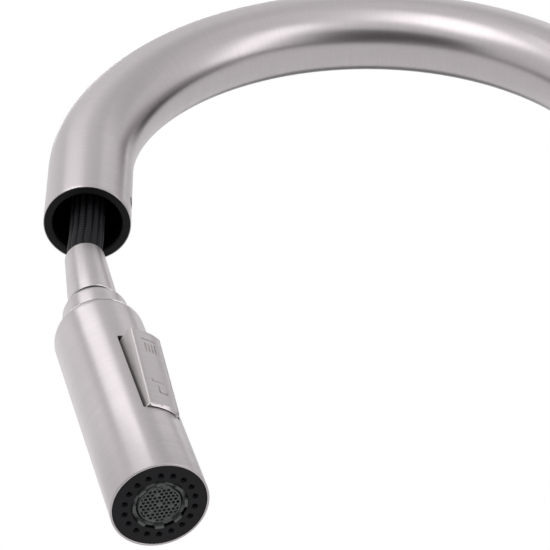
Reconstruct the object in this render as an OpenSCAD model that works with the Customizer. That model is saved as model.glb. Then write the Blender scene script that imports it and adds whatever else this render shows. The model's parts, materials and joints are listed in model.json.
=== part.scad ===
/* [Deck and shank] */
// Thickness of the sink deck in the clamp
deck_t = 30; // [12:1:40]
// Outer radius of the threaded shank
shank_r = 16.5; // [16.2:0.1:17]
// Radius of the way through the shank
shank_bore_r = 15; // [14.8:0.1:15.2]
// Length of the shank below the deck surface
shank_l = 62; // [60:1:80]
// Outer radius of the base flange
flange_r = 28; // [26:0.5:32]
// Height of the base flange
flange_h = 8; // [6:0.5:12]
// Thickness of the rubber under the flange
gasket_t = 2.5; // [1.5:0.1:3.5]

/* [Body] */
// Outer radius of the body shell
body_r = 23; // [22.8:0.1:24]
// Wall of the body shell
body_wall = 2; // [1.2:0.1:2.2]
// Height of the body shell's top edge above the deck
body_h = 150; // [148:1:170]
// Distance of the cartridge axis below the shell's top edge
cartridge_drop = 45; // [44:1:50]
// Height of the cap ring on the body
cap_h = 5.5; // [3:0.5:9]

/* [Spout] */
// Outer radius of the spout tube
tube_r = 16; // [15.8:0.1:16.4]
// Wall of the spout tube
tube_wall = 1.5; // [1:0.1:1.6]
// Radius of the arch at the tube's centre line
arch_r = 105.7; // [95:0.5:120]
// Height of the outlet above the deck
outlet_h = 310; // [290:1:340]
// Straight length of the tube between the outlet and the arch
outlet_leg = 36; // [30:1:50]
// Inner radius of the black dock insert
dock_r = 12.7; // [12.5:0.1:13]
// Length of the dock insert
dock_l = 20; // [18:1:26]
// Height of the snap button above the outlet
snap_z = 11.4; // [9:0.2:13]

/* [Hose and ball joint] */
// Outer radius of the braided hose
hose_r = 6.35; // [6:0.05:6.4]
// Free hose between the outlet and the hose nut at rest
hose_out = 23; // [20:1:40]
// Radius of the hose nut at its hose end
nut_r1 = 7.2; // [7.1:0.1:7.8]
// Radius of the hose nut at its neck end
nut_r2 = 8.74; // [8.2:0.1:9.2]
// Length of the hose nut
nut_l = 29.9; // [28:0.5:32]
// Gap between the hose nut and the neck
nut_gap = 1.6; // [0.8:0.1:2.4]
// Height of the neck's shoulder above the centre of the ball
neck_top = 20.2; // [18:0.2:22]
// Radius of the neck
neck_r = 11.4; // [11:0.1:11.6]
// Radius of the swivel ball
ball_r = 13.7; // [13.5:0.05:13.7]
// Lean of the hose nut in the rest pose
sway = 8.2; // [0:0.1:14]
// Lean of the handset against the hose nut in the rest pose
head_tilt = 5.24; // [0:0.1:8]
// Direction of the lean, turned from the spout's plane
swing_side = 7; // [0:1:20]

/* [Handset] */
// Outer radius of the handset shell
head_r = 15.5; // [15.4:0.05:15.7]
// Length from the centre of the ball to the spray face
head_l = 90.9; // [88:0.5:96]
// Direction of the rocker about the handset's axis
rocker_turn = 42; // [0:1:359]
// Length of the rocker
rocker_l = 38.8; // [36:0.2:39.4]
// Width of the rocker
rocker_w = 11.6; // [10:0.2:12.4]
// Height of the rocker's face above the handset shell
rocker_rise = 3; // [2:0.1:3.2]
// Distance from the spray face to the middle of the rocker
rocker_mid = 50.3; // [49:0.1:54]
// Lean of the rocker each way
rocker_lean = 5.7; // [1:0.1:6]
// Number of spray nozzles
nozzles = 18; // [12:1:18]
// Radius of the ring of nozzles
nozzle_ring_r = 11.1; // [10.9:0.1:11.3]
// Outer radius of the aerator ring
aerator_r = 8.6; // [8.2:0.1:8.7]
// Spacing of the holes in the aerator screen
screen_pitch = 1.43; // [1.3:0.01:1.7]
// Radius of the holes in the aerator screen
screen_hole_r = 0.55; // [0.3:0.01:0.57]

/* [Lever] */
// Distance of the lever's tilt axis from the body axis
lever_x = 30; // [29.5:0.5:31]
// Outer radius of the lever hub
hub_r = 20.4; // [20:0.1:21]
// Radius of the lever rod
rod_r = 4.5; // [3.5:0.1:5.5]
// Distance from the tilt axis to the rod's end
rod_l = 110; // [80:1:130]
// Outward lean of the rod
rod_lean = 12; // [5:1:20]

/* [Counterweight] */
// Outer radius of the counterweight
weight_r = 22; // [18:0.5:26]
// Length of the counterweight
weight_l = 50; // [40:1:60]
// Distance of the counterweight's top below the deck surface
weight_top = 215; // [205:1:230]

/* [Hidden] */
$fn = 64;

STEEL = "#b9b4b4";
BRASS = "#c9a860";
BLACK = "#222125";
RUBBER = "#2b2b2d";
GREY = "#5b5f5e";
CERAMIC = "#ece8e0";
WHITE = "#dcdcd8";
COPPER = "#b87a52";
PIN = "#9a9a9c";
DARK_STEEL = "#8d8d90";

// Clearances
run = 0.1;      // between a turning piece and its bore
free = 0.3;     // between pieces that pass each other
seat = 0.05;    // between sliding flat faces
over = 1;       // reach of a cut past an open end

// Levels and radii that follow from the sizes above
reach = 2 * arch_r;
spring_z = outlet_h + outlet_leg;
body_in = body_r - body_wall;
tube_in = tube_r - tube_wall;
block_r = body_in - 0.2;
bearing_r = block_r - 2.2;
foot_r = bearing_r - 1.4;
foot_z = body_h - 25.2;
tube_foot_z = body_h - 3;
block_top = body_h - 3.5;
block_floor = foot_z - free;
cartridge_z = body_h - cartridge_drop;
web_z = cartridge_z - 33;
head_z0 = flange_h;
head_z1 = flange_h + 10;
clamp_z = -deck_t;
port_r = 10.6;
port_hole_r = 3.9;
pipe_r = 3.8;
hose_way_r = 7.2;
supply_turns = [30, 150];
screw_ring = 21.6;
nut_drop = 18;
nut_h = 11;
screw_drop = 28;
screw_head_h = 3.5;
pipe_bend = 16;
pipe_out = 14;
ring_z = [foot_z + 3, tube_foot_z - 6];
stop_z = foot_z + 12;
stop_r = 2;
stop_turn = 70;

// Cartridge, measured along its axis from the body's axis
pocket_x = 9;
pocket_r = 12.9;
cart_r = 12.5;
cart_x0 = pocket_x + 1;
cart_x1 = lever_x + 1.5;
disc_x = cart_x0 + 3;
disc_t = 3;
mdisc_x = disc_x + disc_t + seat;
carrier_x = mdisc_x + disc_t;
carrier_t = 3;
turret_x = carrier_x + carrier_t + free;
cart_bore_r = 11.4;
mdisc_r = 7.2;
nut_bore_r = 15;
nut_x0 = cart_x1 - 5.5;
boss_x = lever_x + 3;
block_boss_r = 16.4;
boss_r = 17.9;
stem_r = 3.4;
tip_arm = 8;
tip_r = 2.2;
cover_r = boss_r + 0.3;
cover_up = 11.5;
rim_up = 4.6;
hub_wall = 1.9;
core_r = 6;
rod_shift = 5.5;
grub_up = 13;

// Handset, measured from the centre of the ball along the handset's axis
face_z = -head_l;
rocker_z = face_z + rocker_mid;
shell_in = head_r - 1.4;
face_r = head_r - 0.84;
shoulder_r = 7.2;
shoulder_z = 0.6;
edge_z = 6.5;
spool_bore_z = [-22, 13];
water_top = -16.4;
check_x = -0.8;
check_r = 6.2;
pin_x = 9.9;
pin_r = 1;
ear_y = rocker_w / 2 + free;
ear_t = 1.6;
ear_z = 3;
rocker_face_r = head_r + rocker_rise;
rocker_room = 1;
rocker_side_room = 1.1;
rocker_bevel = 0.8;
cradle_floor = 8.6;
tab_x = 1.9;
spool_r = 3.6;
spool_z = rocker_z + 0.9 * (pin_x - tab_x) * sin(rocker_lean);
seal_z = [-15, 8];
spring_turns = 5;
aerator_bore = aerator_r - 1.35;
lugs = 8;
lug_angle = 21;
head_lean_max = 10;
lip_turn = asin(edge_z / (ball_r + run));
bore_step_z = face_z + 12;
waist_r = (ball_r + run) * cos(lip_turn + head_lean_max) - run;
waist_z = sqrt(pow(ball_r, 2) - pow(waist_r, 2));
neck_step = 4.7;
link_l = nut_l + nut_gap + neck_top;
nozzle_turn = 4.3 + swing_side - rocker_turn;
screen_turn = -27.5 + swing_side - rocker_turn;

// Hose loop under the deck, centre line as [x, y, z]
conn_y = -40.8;
conn_z = -98.8;
hang_y = -22;
loop_route = [[0, 0, -62], [0, -1.5, -80], [0, -5.5, -94], [0, -11, -108], [0, -16.5, -122],
    [0, -20.5, -136], [0, hang_y, -154], [0, hang_y, -210], [0, hang_y, -260], [0, hang_y, -300],
    [0, hang_y, -320], [0, -26, -340], [0, -37, -357], [0, -54, -368], [0, -74, -372], [0, -94, -368],
    [0, -111, -357], [0, -122, -340], [0, -126, -320], [0, -126, -290], [0, -126, -250],
    [0, -124, -220], [0, -117, -190], [0, -104, -164], [0, -86, -144], [0, -68, -126],
    [0, conn_y, conn_z]];

function arc(cx, cy, r, a0, a1, n) = [for (i = [0:n]) let (a = a0 + (a1 - a0) * i / n)
    [cx + r * cos(a), cy + r * sin(a)]];
function unit(v) = v / norm(v);
function direction(p, i) = unit(p[min(i + 1, len(p) - 1)] - p[max(i - 1, 0)]);
function ring3(c, t, side, r, n) = let (u = unit(cross(side, t)), v = cross(t, u))
    [for (k = [0:n - 1]) c + r * (cos(360 * k / n) * u + sin(360 * k / n) * v)];

// Round tube carried along a list of points, with its ends square to the first and last direction
module sweep(p, r, n, side, first, last) {
    m = len(p);
    ways = [for (i = [0:m - 1]) i == 0 ? first : i == m - 1 ? last : direction(p, i)];
    pts = [for (i = [0:m - 1]) each ring3(p[i], ways[i], side, r, n)];
    sides = [for (i = [0:m - 2]) for (k = [0:n - 1]) let (a = i * n + k, b = i * n + (k + 1) % n)
        each [[a, b + n, b], [a, a + n, b + n]]];
    caps = [[for (k = [0:n - 1]) k], [for (k = [0:n - 1]) (m - 1) * n + n - 1 - k]];
    polyhedron(concat(pts, sides), concat(sides, caps));
}

module tube(r_out, r_in, z0, z1) {
    translate([0, 0, z0])
        difference() {
            cylinder(r = r_out, h = z1 - z0);
            translate([0, 0, -over])
                cylinder(r = r_in, h = z1 - z0 + 2 * over);
        }
}

module rod(r, z0, z1) {
    translate([0, 0, z0])
        cylinder(r = r, h = z1 - z0);
}

// Frames of the pieces that hang from the spout
module at_outlet() {
    translate([0, -reach, outlet_h])
        rotate([0, 0, -swing_side])
            children();
}
module at_nut() {
    at_outlet()
        translate([0, 0, -hose_out])
            rotate([sway, 0, 0])
                children();
}
module at_ball() {
    at_nut()
        translate([0, 0, -link_l])
            rotate([head_tilt, 0, 0])
                children();
}
module at_head() {
    at_ball()
        rotate([0, 0, rocker_turn])
            children();
}

module at_check() {
    at_head()
        translate([check_x, 0, 0])
            children();
}

// Frame of the cartridge: its +Z is the way out of the body
module at_cartridge() {
    translate([0, 0, cartridge_z])
        rotate([0, 90, 0])
            children();
}

module deck_gasket() {
    color(RUBBER) tube(flange_r - 2, shank_r + free, 0, gasket_t);
}

module base_flange() {
    color(STEEL)
        rotate_extrude()
            polygon([[shank_r + free, gasket_t], [flange_r - 1.8, gasket_t], [flange_r - 1.8, 0.6],
                [flange_r, 0.6], [flange_r, flange_h - 3], each arc(flange_r - 3, flange_h - 3, 3, 0, 90, 6),
                [body_r - 0.3, flange_h], [shank_r + free, flange_h]]);
}

module body_shell() {
    color(STEEL)
        difference() {
            union() {
                rod(body_r, flange_h, body_h);
                at_cartridge() rod(boss_r, 0, boss_x);
            }
            translate([0, 0, flange_h - over])
                cylinder(r = body_in, h = body_h - flange_h + 2 * over);
            at_cartridge() rod(block_boss_r + 0.1, 0, boss_x + over);
        }
}

module valve_block() {
    color(BRASS)
        difference() {
            union() {
                rod(block_r, head_z1, block_top);
                at_cartridge() rod(block_boss_r, 0, boss_x);
            }
            rod(block_r - 2, head_z1 - over, web_z);
            rod(bearing_r, block_floor, block_top + over);
            rod(hose_way_r, web_z - over, block_floor + over);
            at_cartridge() rod(pocket_r, pocket_x, boss_x + over);
            at_cartridge() rod(nut_bore_r, nut_x0, boss_x + over);
            for (a = supply_turns)
                rotate([0, 0, a])
                    translate([port_r, 0, 0])
                        rod(port_hole_r, web_z - over, web_z + 18);
            translate([0, -port_r, 0]) rod(pipe_r, web_z - over, web_z + 18);
            translate([0, port_r * sin(30), cartridge_z - 18])
                rotate([0, 90, 0]) rod(2, -port_r, pocket_x + 6);
            translate([pocket_x + 2.5, port_r * sin(30), 0]) rod(2, web_z + 8, cartridge_z - 6);
            translate([0, -port_r, 0]) rod(2.2, web_z, cartridge_z);
            translate([0, -port_r, cartridge_z]) rotate([0, 90, 0]) rod(2, 0, pocket_x + 0.5);
            translate([0, -bearing_r + over, stop_z]) rotate([90, 0, 0]) rod(stop_r + 0.05, 0, 6);
        }
}

module body_cap() {
    color(STEEL)
        rotate_extrude()
            polygon([[tube_r + free, body_h + cap_h], [tube_r + free, body_h], [body_in - 2, body_h],
                [body_in - 2, block_top + 0.2], [body_in - 0.05, block_top + 0.2], [body_in - 0.05, body_h],
                [body_r, body_h], [body_r, body_h + 1], [tube_r + 2, body_h + cap_h]]);
}

module spout_stop_screw() {
    color(DARK_STEEL)
        translate([0, -foot_r + 0.9, stop_z])
            rotate([90, 0, 0])
                difference() {
                    rod(stop_r, 0, block_r - foot_r + 0.8);
                    translate([0, 0, block_r - foot_r - 0.8]) cylinder(r = 1, h = over + 1, $fn = 6);
                }
}

module threaded_shank() {
    pitch = 2;
    plain_z = -14;
    turns = floor((shank_l + plain_z - 2) / pitch);
    color(BRASS)
        rotate_extrude()
            polygon([[shank_bore_r, -shank_l], [shank_r - 1, -shank_l],
                for (i = [0:turns - 1]) each [[shank_r - 0.5, -shank_l + 1 + pitch * i],
                    [shank_r, -shank_l + 1 + pitch * (i + 0.5)]],
                [shank_r - 0.5, plain_z - 1], [shank_r, plain_z], [shank_r, head_z0], [block_r, head_z0],
                [block_r, head_z1], [shank_bore_r, head_z1]]);
}

module clamp_gasket() {
    color(RUBBER) tube(flange_r - 1.5, shank_r + free, clamp_z - 3, clamp_z);
}

module clamp_washer() {
    color(STEEL) tube(flange_r - 1.5, shank_r + free, clamp_z - 5, clamp_z - 3);
}

module mounting_nut() {
    z0 = clamp_z - nut_drop;
    z1 = z0 + nut_h;
    nut_r = flange_r - 1.5;
    color(BRASS)
        difference() {
            rod(nut_r, z0, z1);
            rod(shank_r + 0.05, z0 - over, z1 + over);
            for (a = [0, 180])
                rotate([0, 0, a])
                    translate([screw_ring, 0, 0]) rod(2.5, z0 - over, z1 + over);
            for (a = [45:90:315])
                rotate([0, 0, a])
                    translate([nut_r - 3, -2.5, z0 - over]) cube([4, 5, z1 - z0 + 2 * over]);
        }
}

module clamp_screws() {
    screw_z = clamp_z - screw_drop;
    color(STEEL)
        for (a = [0, 180])
            rotate([0, 0, a])
                translate([screw_ring, 0, 0]) {
                    rod(2.5, screw_z, clamp_z - 5);
                    difference() {
                        rod(4.5, screw_z - screw_head_h, screw_z);
                        translate([-5, -0.6, screw_z - screw_head_h - over]) cube([10, 1.2, 1.2 + over]);
                    }
                }
}

// Way of the outlet pipe, solid, with its ends drawn out
module pipe_way(r, past) {
    y = -port_r - pipe_bend;
    z = -shank_l;
    out = pipe_bend + pipe_out + past;
    route = [[0, -port_r, web_z + 18 + past],
        for (a = [0:9:45]) [0, y + pipe_bend * cos(a), z - pipe_bend * sin(a)],
        [0, y + (2 * pipe_bend - out) * cos(45), z - out * sin(45)]];
    sweep(route, r, 24, [1, 0, 0], [0, 0, -1], unit([0, -1, -1]));
}

module outlet_pipe() {
    color(COPPER)
        difference() {
            pipe_way(pipe_r, 0);
            pipe_way(pipe_r - 0.8, over);
        }
}

module hose_connector() {
    y0 = -port_r - pipe_bend * (1 - cos(45)) - pipe_out * sin(45);
    z0 = -shank_l - pipe_bend * sin(45) - pipe_out * cos(45);
    l = norm([conn_y - y0, conn_z - z0]);
    color(BRASS)
        translate([0, y0, z0])
            rotate([-45, 0, 0])
                rotate_extrude()
                    polygon([[pipe_r + 0.02, 3], [7.5, 3], [7.5, -5], [6.9, -6], [6.9, -l], [3, -l], [3, 0],
                        [pipe_r + 0.02, 0]]);
}

module hose_in_body() {
    color(BLACK) rod(hose_r, -shank_l, spring_z - seat);
}

module hose_loop() {
    color(BLACK)
        sweep(loop_route, hose_r, 12, [1, 0, 0], [0, 0, -1], unit([0, 1, 1]));
}

module counterweight() {
    color("#6f7174")
        for (s = [0, 180])
            translate([0, hang_y, 0]) rotate([0, 0, s])
                difference() {
                    translate([0, 0, -weight_top - weight_l])
                        rotate_extrude(angle = 180)
                            polygon([[hose_r + 0.05, 0], [weight_r - 3, 0],
                                each arc(weight_r - 3, 3, 3, -90, 0, 5),
                                each arc(weight_r - 3, weight_l - 3, 3, 0, 90, 5),
                                [hose_r + 0.05, weight_l]]);
                    translate([-weight_r - over, -over, -weight_top - weight_l - over])
                        cube([2 * weight_r + 2 * over, over + 0.2, weight_l + 2 * over]);
                    for (x = [-14, 14])
                        translate([x, 0, -weight_top - weight_l / 2])
                            rotate([-90, 0, 0]) {
                                rod(2.05, -over, weight_r);
                                rod(4.2, 9, weight_r);
                            }
                }
}

module weight_screws() {
    color(STEEL)
        for (x = [-14, 14])
            translate([x, hang_y, -weight_top - weight_l / 2])
                rotate([-90, 0, 0]) {
                    rod(2, -9, 9);
                    rod(3.8, 9, 12);
                    rod(3.8, -12, -9);
                }
}

module spout_tube() {
    color(STEEL)
        difference() {
            union() {
                rod(tube_r, tube_foot_z, spring_z);
                translate([0, -reach, 0]) rod(tube_r, outlet_h, spring_z);
                translate([0, -arch_r, spring_z])
                    rotate([90, 0, 90])
                        rotate_extrude(angle = 180, $fn = 96)
                            translate([arch_r, 0])
                                difference() {
                                    circle(r = tube_r);
                                    circle(r = tube_in);
                                }
            }
            rod(tube_in, tube_foot_z - over, spring_z);
            translate([0, -reach, 0]) rod(tube_in, outlet_h - over, spring_z);
            translate([0, -reach, 0]) rod(tube_r - 0.3, outlet_h - over, outlet_h + 2.8);
            translate([0, -reach + tube_in - 2, outlet_h + snap_z]) rotate([-90, 0, 0]) rod(3.35, 0, 6);
        }
}

module spout_foot() {
    color(BRASS)
        difference() {
            union() {
                rod(foot_r, foot_z, tube_foot_z);
                rod(tube_in - 0.05, tube_foot_z, tube_foot_z + 20);
            }
            rod(tube_in - 2.5, foot_z - over, tube_foot_z + 20 + over);
            for (z = ring_z)
                tube(foot_r + over, foot_r - 0.8, z, z + 3);
            rotate([0, 0, -90 - stop_turn])
                translate([0, 0, stop_z - stop_r - 0.5])
                    rotate_extrude(angle = 2 * stop_turn)
                        translate([foot_r - 1.5, 0]) square([2.5, 2 * stop_r + 1]);
        }
}

module slide_rings() {
    color(WHITE)
        for (z = ring_z)
            difference() {
                tube(bearing_r - run, foot_r - 0.75, z + 0.1, z + 2.9);
                translate([0, -0.8, z - over]) cube([bearing_r + over, 1.6, 3 + 2 * over]);
            }
}

module hose_guide() {
    color(WHITE)
        rotate_extrude()
            polygon([[hose_way_r + 0.8, tube_foot_z + 20], [tube_in - 0.1, tube_foot_z + 20],
                [tube_in - 0.1, tube_foot_z + 28], [hose_way_r + 3, tube_foot_z + 28],
                [hose_way_r, tube_foot_z + 25], [hose_way_r, tube_foot_z + 22]]);
}

module dock_insert() {
    color(BLACK)
        translate([0, -reach, outlet_h]) {
            difference() {
                rotate_extrude()
                    polygon([[dock_r + 0.5, 0], [tube_r - 0.4, 0], [tube_r - 0.4, 2.7],
                        [tube_in - 0.15, 2.7], [tube_in - 0.15, dock_l], [dock_r + 0.8, dock_l],
                        [dock_r, dock_l - 1.5], [dock_r, 0.5]]);
                for (s = [-1, 1])
                    translate([s * 4.4 - 0.4, 0, 4.5]) cube([0.8, tube_r, dock_l]);
            }
            translate([0, tube_in - 0.9, snap_z]) rotate([-90, 0, 0]) rod(3.1, 0, tube_wall + 0.5);
        }
}

module hose_in_spout() {
    color(BLACK)
        translate([0, -arch_r, spring_z])
            rotate([90, 0, 90])
                rotate_extrude(angle = 172, $fn = 96)
                    translate([arch_r, 0]) circle(r = hose_r);
}

// Free hose: from the nut up the outlet's straight leg and into the start of the arch
module hose_drop() {
    bend = 8;
    route = [for (t = [0, 0.3, 0.6, 0.9]) [0, 0, -hose_out + t * (outlet_leg + hose_out)],
        for (a = [0:2:bend]) [0, arch_r * (1 - cos(a)), outlet_leg + arch_r * sin(a)]];
    color(BLACK)
        translate([0, -reach, outlet_h])
            sweep(route, hose_r, 12, [1, 0, 0], [0, 0, 1], [0, sin(bend), cos(bend)]);
}

module hose_nut() {
    color(STEEL)
        at_nut()
            rotate_extrude()
                polygon([[hose_r + 0.15, 0], [nut_r1 - 0.3, 0], [nut_r1, -0.4], [nut_r2, -nut_l + 0.5],
                    [nut_r2 - 0.4, -nut_l], [nut_r2 - 1, -nut_l], [nut_r2 - 1, -nut_l + 2.5],
                    [6.2, -nut_l + 2.5], [6.2, -20], [hose_r + 0.15, -20]]);
}

module hose_ferrule() {
    color(PIN) at_nut() tube(hose_r, 5, -16, -1.6);
}

module hose_nipple() {
    color(BRASS)
        at_nut()
            rotate_extrude()
                polygon([[3, -1], [4.6, -1], for (z = [-3, -6, -9]) each [[4.9, z], [4.6, z - 0.2]],
                    [4.9, -12], [4.9, -16], [6.1, -16], [6.1, -19.4], [3, -19.4]]);
}

// Ball and neck; the waist lets the handset lean
module swivel_ball() {
    color(STEEL)
        at_nut()
            translate([0, 0, -link_l])
                difference() {
                    union() {
                        intersection() {
                            sphere(r = ball_r, $fn = 96);
                            rod(ball_r, -11.2, waist_z + 0.4);
                        }
                        rotate_extrude()
                            polygon([[0, 0], [waist_r, 0], [waist_r, waist_z + 0.4], [neck_r, waist_z + 1],
                                [neck_r, neck_top - neck_step],
                                each arc(neck_r - neck_step, neck_top - neck_step, neck_step, 0, 76, 8),
                                [6.4, neck_top], [6.15, neck_top], [6.15, link_l - 19.5],
                                [0, link_l - 19.5]]);
                    }
                    rod(4.5, -ball_r, link_l);
                }
}

module ball_socket() {
    color(WHITE)
        at_ball()
            difference() {
                tube(shell_in - 0.15, 8, water_top + 0.2, -5);
                sphere(r = ball_r + run, $fn = 96);
                rotate_extrude() translate([11.3, -9.8]) circle(r = 1.25, $fn = 24);
            }
}

module ball_seal() {
    color(RUBBER)
        at_ball()
            rotate_extrude()
                translate([11.3, -9.8]) circle(r = 1.1, $fn = 24);
}

module handset_shell() {
    lip = sqrt(pow(shoulder_r, 2) - pow(edge_z - shoulder_z, 2));
    color(STEEL)
        at_head()
            difference() {
                rotate_extrude()
                    polygon([[0, face_z], [head_r - 0.35, face_z], [head_r, face_z + 0.35],
                        each arc(head_r - shoulder_r, shoulder_z, shoulder_r, 0, acos(lip / shoulder_r), 10),
                        [0, edge_z]]);
                sphere(r = ball_r + run, $fn = 96);
                rod(shell_in, bore_step_z, 0);
                rod(face_r + 0.12, face_z - over, bore_step_z);
                translate([8, -rocker_w / 2 - rocker_side_room, rocker_z - rocker_l / 2 - rocker_room])
                    cube([head_r, rocker_w + 2 * rocker_side_room, rocker_l + 2 * rocker_room]);
            }
}

module waterway_body() {
    color(WHITE)
        at_head()
            difference() {
                union() {
                    rod(shell_in - 0.1, bore_step_z + 0.2, water_top);
                    rod(shell_in - 0.9, face_z + 7, bore_step_z + 0.2);
                }
                translate([cradle_floor - 2.2, -head_r, rocker_z - rocker_l / 2 - 3])
                    cube([head_r, 2 * head_r, rocker_l + 6]);
                translate([check_x, 0, 0]) rod(check_r + seat, water_top - 12, water_top + over);
                rod(spool_r + run, rocker_z + spool_bore_z[0], rocker_z + spool_bore_z[1]);
                rod(3, face_z, rocker_z);
                translate([0, -2, rocker_z - 3]) cube([head_r, 4, 6]);
                translate([-8.5, 0, 0]) rod(2.6, face_z, water_top - 11);
                for (z = [-14, -6])
                    translate([0, 0, rocker_z + z]) rotate([0, -90, 0]) rod(1.8, 0, 8.5);
                rod(aerator_r + 0.2, face_z, face_z + 9.2);
            }
}

module check_cage() {
    color(WHITE)
        at_check()
            difference() {
                rod(check_r, water_top - 11.8, water_top - 0.4);
                rod(3.2, water_top - 3, water_top + over);
                rod(check_r - 1, water_top - 10.4, water_top - 2.2);
                rod(2.9, water_top - 13, water_top - 10);
            }
}

module check_poppet() {
    color("#c0392b")
        at_check() {
            rod(4.2, water_top - 4, water_top - 2.5);
            rod(1.2, water_top - 10, water_top - 4);
        }
}

module poppet_spring() {
    z1 = water_top - 4.4;
    z0 = water_top - 10;
    coil_r = 3.5;
    wire_r = 0.35;
    n = 12;
    route = [for (i = [0:n * spring_turns]) [coil_r * cos(360 * i / n), coil_r * sin(360 * i / n),
        z0 + (z1 - z0) * i / (n * spring_turns)]];
    least = (z1 - z0) / spring_turns - 2 * wire_r;
    echo(poppet_spring_gap = least);
    color(PIN)
        at_check()
            sweep(route, wire_r, 6, [0, 0, 1], [0, 1, 0], [0, 1, 0]);
}

module rocker_cradle() {
    half_l = rocker_l / 2 + 2.6;
    half_w = ear_y + ear_t;
    color(BLACK)
        at_head()
            intersection() {
                rod(shell_in - 0.1, rocker_z - half_l, rocker_z + half_l);
                difference() {
                    translate([cradle_floor - 2.1, -12, rocker_z - half_l])
                        cube([head_r, 24, 2 * half_l]);
                    difference() {
                        translate([cradle_floor, -half_w, rocker_z - rocker_l / 2 - 1])
                            cube([head_r, 2 * half_w, rocker_l + 2]);
                        for (y = [-half_w, ear_y])
                            translate([cradle_floor - over, y, rocker_z - ear_z])
                                cube([pin_x + 1.5 - cradle_floor + over, ear_t, 2 * ear_z]);
                    }
                    translate([cradle_floor - 0.9, -ear_y, rocker_z - ear_z - 0.4])
                        cube([head_r, 2 * ear_y, 2 * ear_z + 0.8]);
                    translate([0, -2, rocker_z - 3]) cube([head_r, 4, 6]);
                    at_pin() rod(pin_r + 0.02, -rocker_w, rocker_w);
                }
            }
}

// Frame of the rocker's pin: its +Z runs across the handset
module at_pin() {
    translate([pin_x, 0, rocker_z])
        rotate([90, 0, 0])
            children();
}

module rocker_pin() {
    color(PIN)
        at_head() at_pin() rod(pin_r, -ear_y - 1.3, ear_y + 1.3);
}

// Bar of the rocker before it leans, drawn about its pin
module rocker_bar() {
    half = rocker_w / 2;
    half_l = rocker_l / 2;
    flat = asin((half - 0.1) / rocker_face_r);
    low = cradle_floor + 2.4;
    mark_x = rocker_face_r - 0.35;
    difference() {
        union() {
            translate([0, 0, rocker_z - half_l])
                linear_extrude(rocker_l)
                    polygon([[low, -half], each arc(0, 0, rocker_face_r, -flat, flat, 12), [low, half]]);
            translate([pin_x - 1.6, -half + free, rocker_z - ear_z + 0.4])
                cube([3, 2 * (half - free), 2 * ear_z - 0.8]);
        }
        for (s = [-1, 1])
            translate([0, 0, rocker_z])
                rotate_extrude()
                    polygon([[rocker_face_r - rocker_bevel - over, s * (half_l + over)],
                        [rocker_face_r + over, s * (half_l + over)],
                        [rocker_face_r + over, s * (half_l - rocker_bevel - over)]]);
        at_pin() rod(pin_r + seat, -rocker_w, rocker_w);
        // Sign of the rain jet: a line over four rays
        translate([mark_x, -2.8, rocker_z + 14]) cube([3, 5.6, 0.5]);
        for (y = [-2.1, -0.9, 0.3, 1.5])
            translate([mark_x, y, rocker_z + 7.9]) cube([3, 0.5, 4.4]);
        // Sign of the stream: a tap's line over a cup
        translate([mark_x, -2.8, rocker_z - 7.6]) cube([3, 5, 0.5]);
        translate([mark_x, -2.8, rocker_z - 7.3]) cube([3, 0.5, 1.1]);
        for (y = [-1, 1.9])
            translate([mark_x, y, rocker_z - 12.7]) cube([3, 0.5, 3.6]);
        translate([mark_x, -0.7, rocker_z - 12.7]) cube([3, 2.8, 0.5]);
    }
}

module spray_rocker() {
    color(STEEL)
        at_head()
            translate([pin_x, 0, rocker_z])
                rotate([0, rocker_lean, 0])
                    translate([-pin_x, 0, -rocker_z]) {
                        rocker_bar();
                        translate([tab_x, -1.4, rocker_z - 1]) cube([pin_x - 1.3 - tab_x, 2.8, 2]);
                    }
}

module diverter_spool() {
    slot = 2.8;
    color(BRASS)
        at_head()
            translate([0, 0, spool_z])
                difference() {
                    rod(spool_r, -18, 11);
                    tube(spool_r + over, 1.7, -slot / 2, slot / 2);
                    tube(spool_r + over, 2.5, -11, -7);
                    tube(spool_r + over, 2.5, 3, 6);
                    for (z = seal_z)
                        tube(spool_r + over, spool_r - 0.8, z, z + 1.4);
                }
}

module spool_seals() {
    color(RUBBER)
        at_head()
            translate([0, 0, spool_z])
                for (z = seal_z)
                    tube(spool_r + 0.04, spool_r - 0.75, z + 0.1, z + 1.3);
}

module spray_face() {
    color(BLACK)
        at_head()
            difference() {
                union() {
                    rod(face_r, face_z, face_z + 2.4);
                    tube(face_r, shell_in - 0.8, face_z + 2.4, face_z + 11);
                }
                rod(aerator_r + 0.15, face_z - over, face_z + 3);
                for (i = [0:nozzles - 1])
                    rotate([0, 0, nozzle_turn + 360 * i / nozzles])
                        translate([nozzle_ring_r, 0, 0]) rod(1.25, face_z - over, face_z + 3);
            }
}

module nozzle_mat() {
    color("#19191b")
        at_head()
            difference() {
                union() {
                    tube(shell_in - 0.9, aerator_r + 0.4, face_z + 2.5, face_z + 4.2);
                    for (i = [0:nozzles - 1])
                        rotate([0, 0, nozzle_turn + 360 * i / nozzles])
                            translate([nozzle_ring_r, 0, 0]) rod(1, face_z + 1.2, face_z + 3);
                }
                for (i = [0:nozzles - 1])
                    rotate([0, 0, nozzle_turn + 360 * i / nozzles])
                        translate([nozzle_ring_r, 0, 0]) rod(0.45, face_z - over, face_z + 6);
            }
}

module aerator_ring() {
    color(GREY)
        at_head() {
            rotate_extrude()
                polygon([[aerator_bore, face_z - 0.1], [aerator_r - 0.4, face_z - 0.1],
                    [aerator_r - 0.4, face_z + 0.4], [aerator_r, face_z + 0.4], [aerator_r, face_z + 9],
                    [aerator_bore, face_z + 9]]);
            for (i = [0:lugs - 1])
                rotate([0, 0, nozzle_turn - lug_angle / 2 + 360 * i / lugs])
                    rotate_extrude(angle = lug_angle)
                        translate([aerator_r - 1, face_z - 0.7]) square([0.95, 2]);
        }
}

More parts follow.
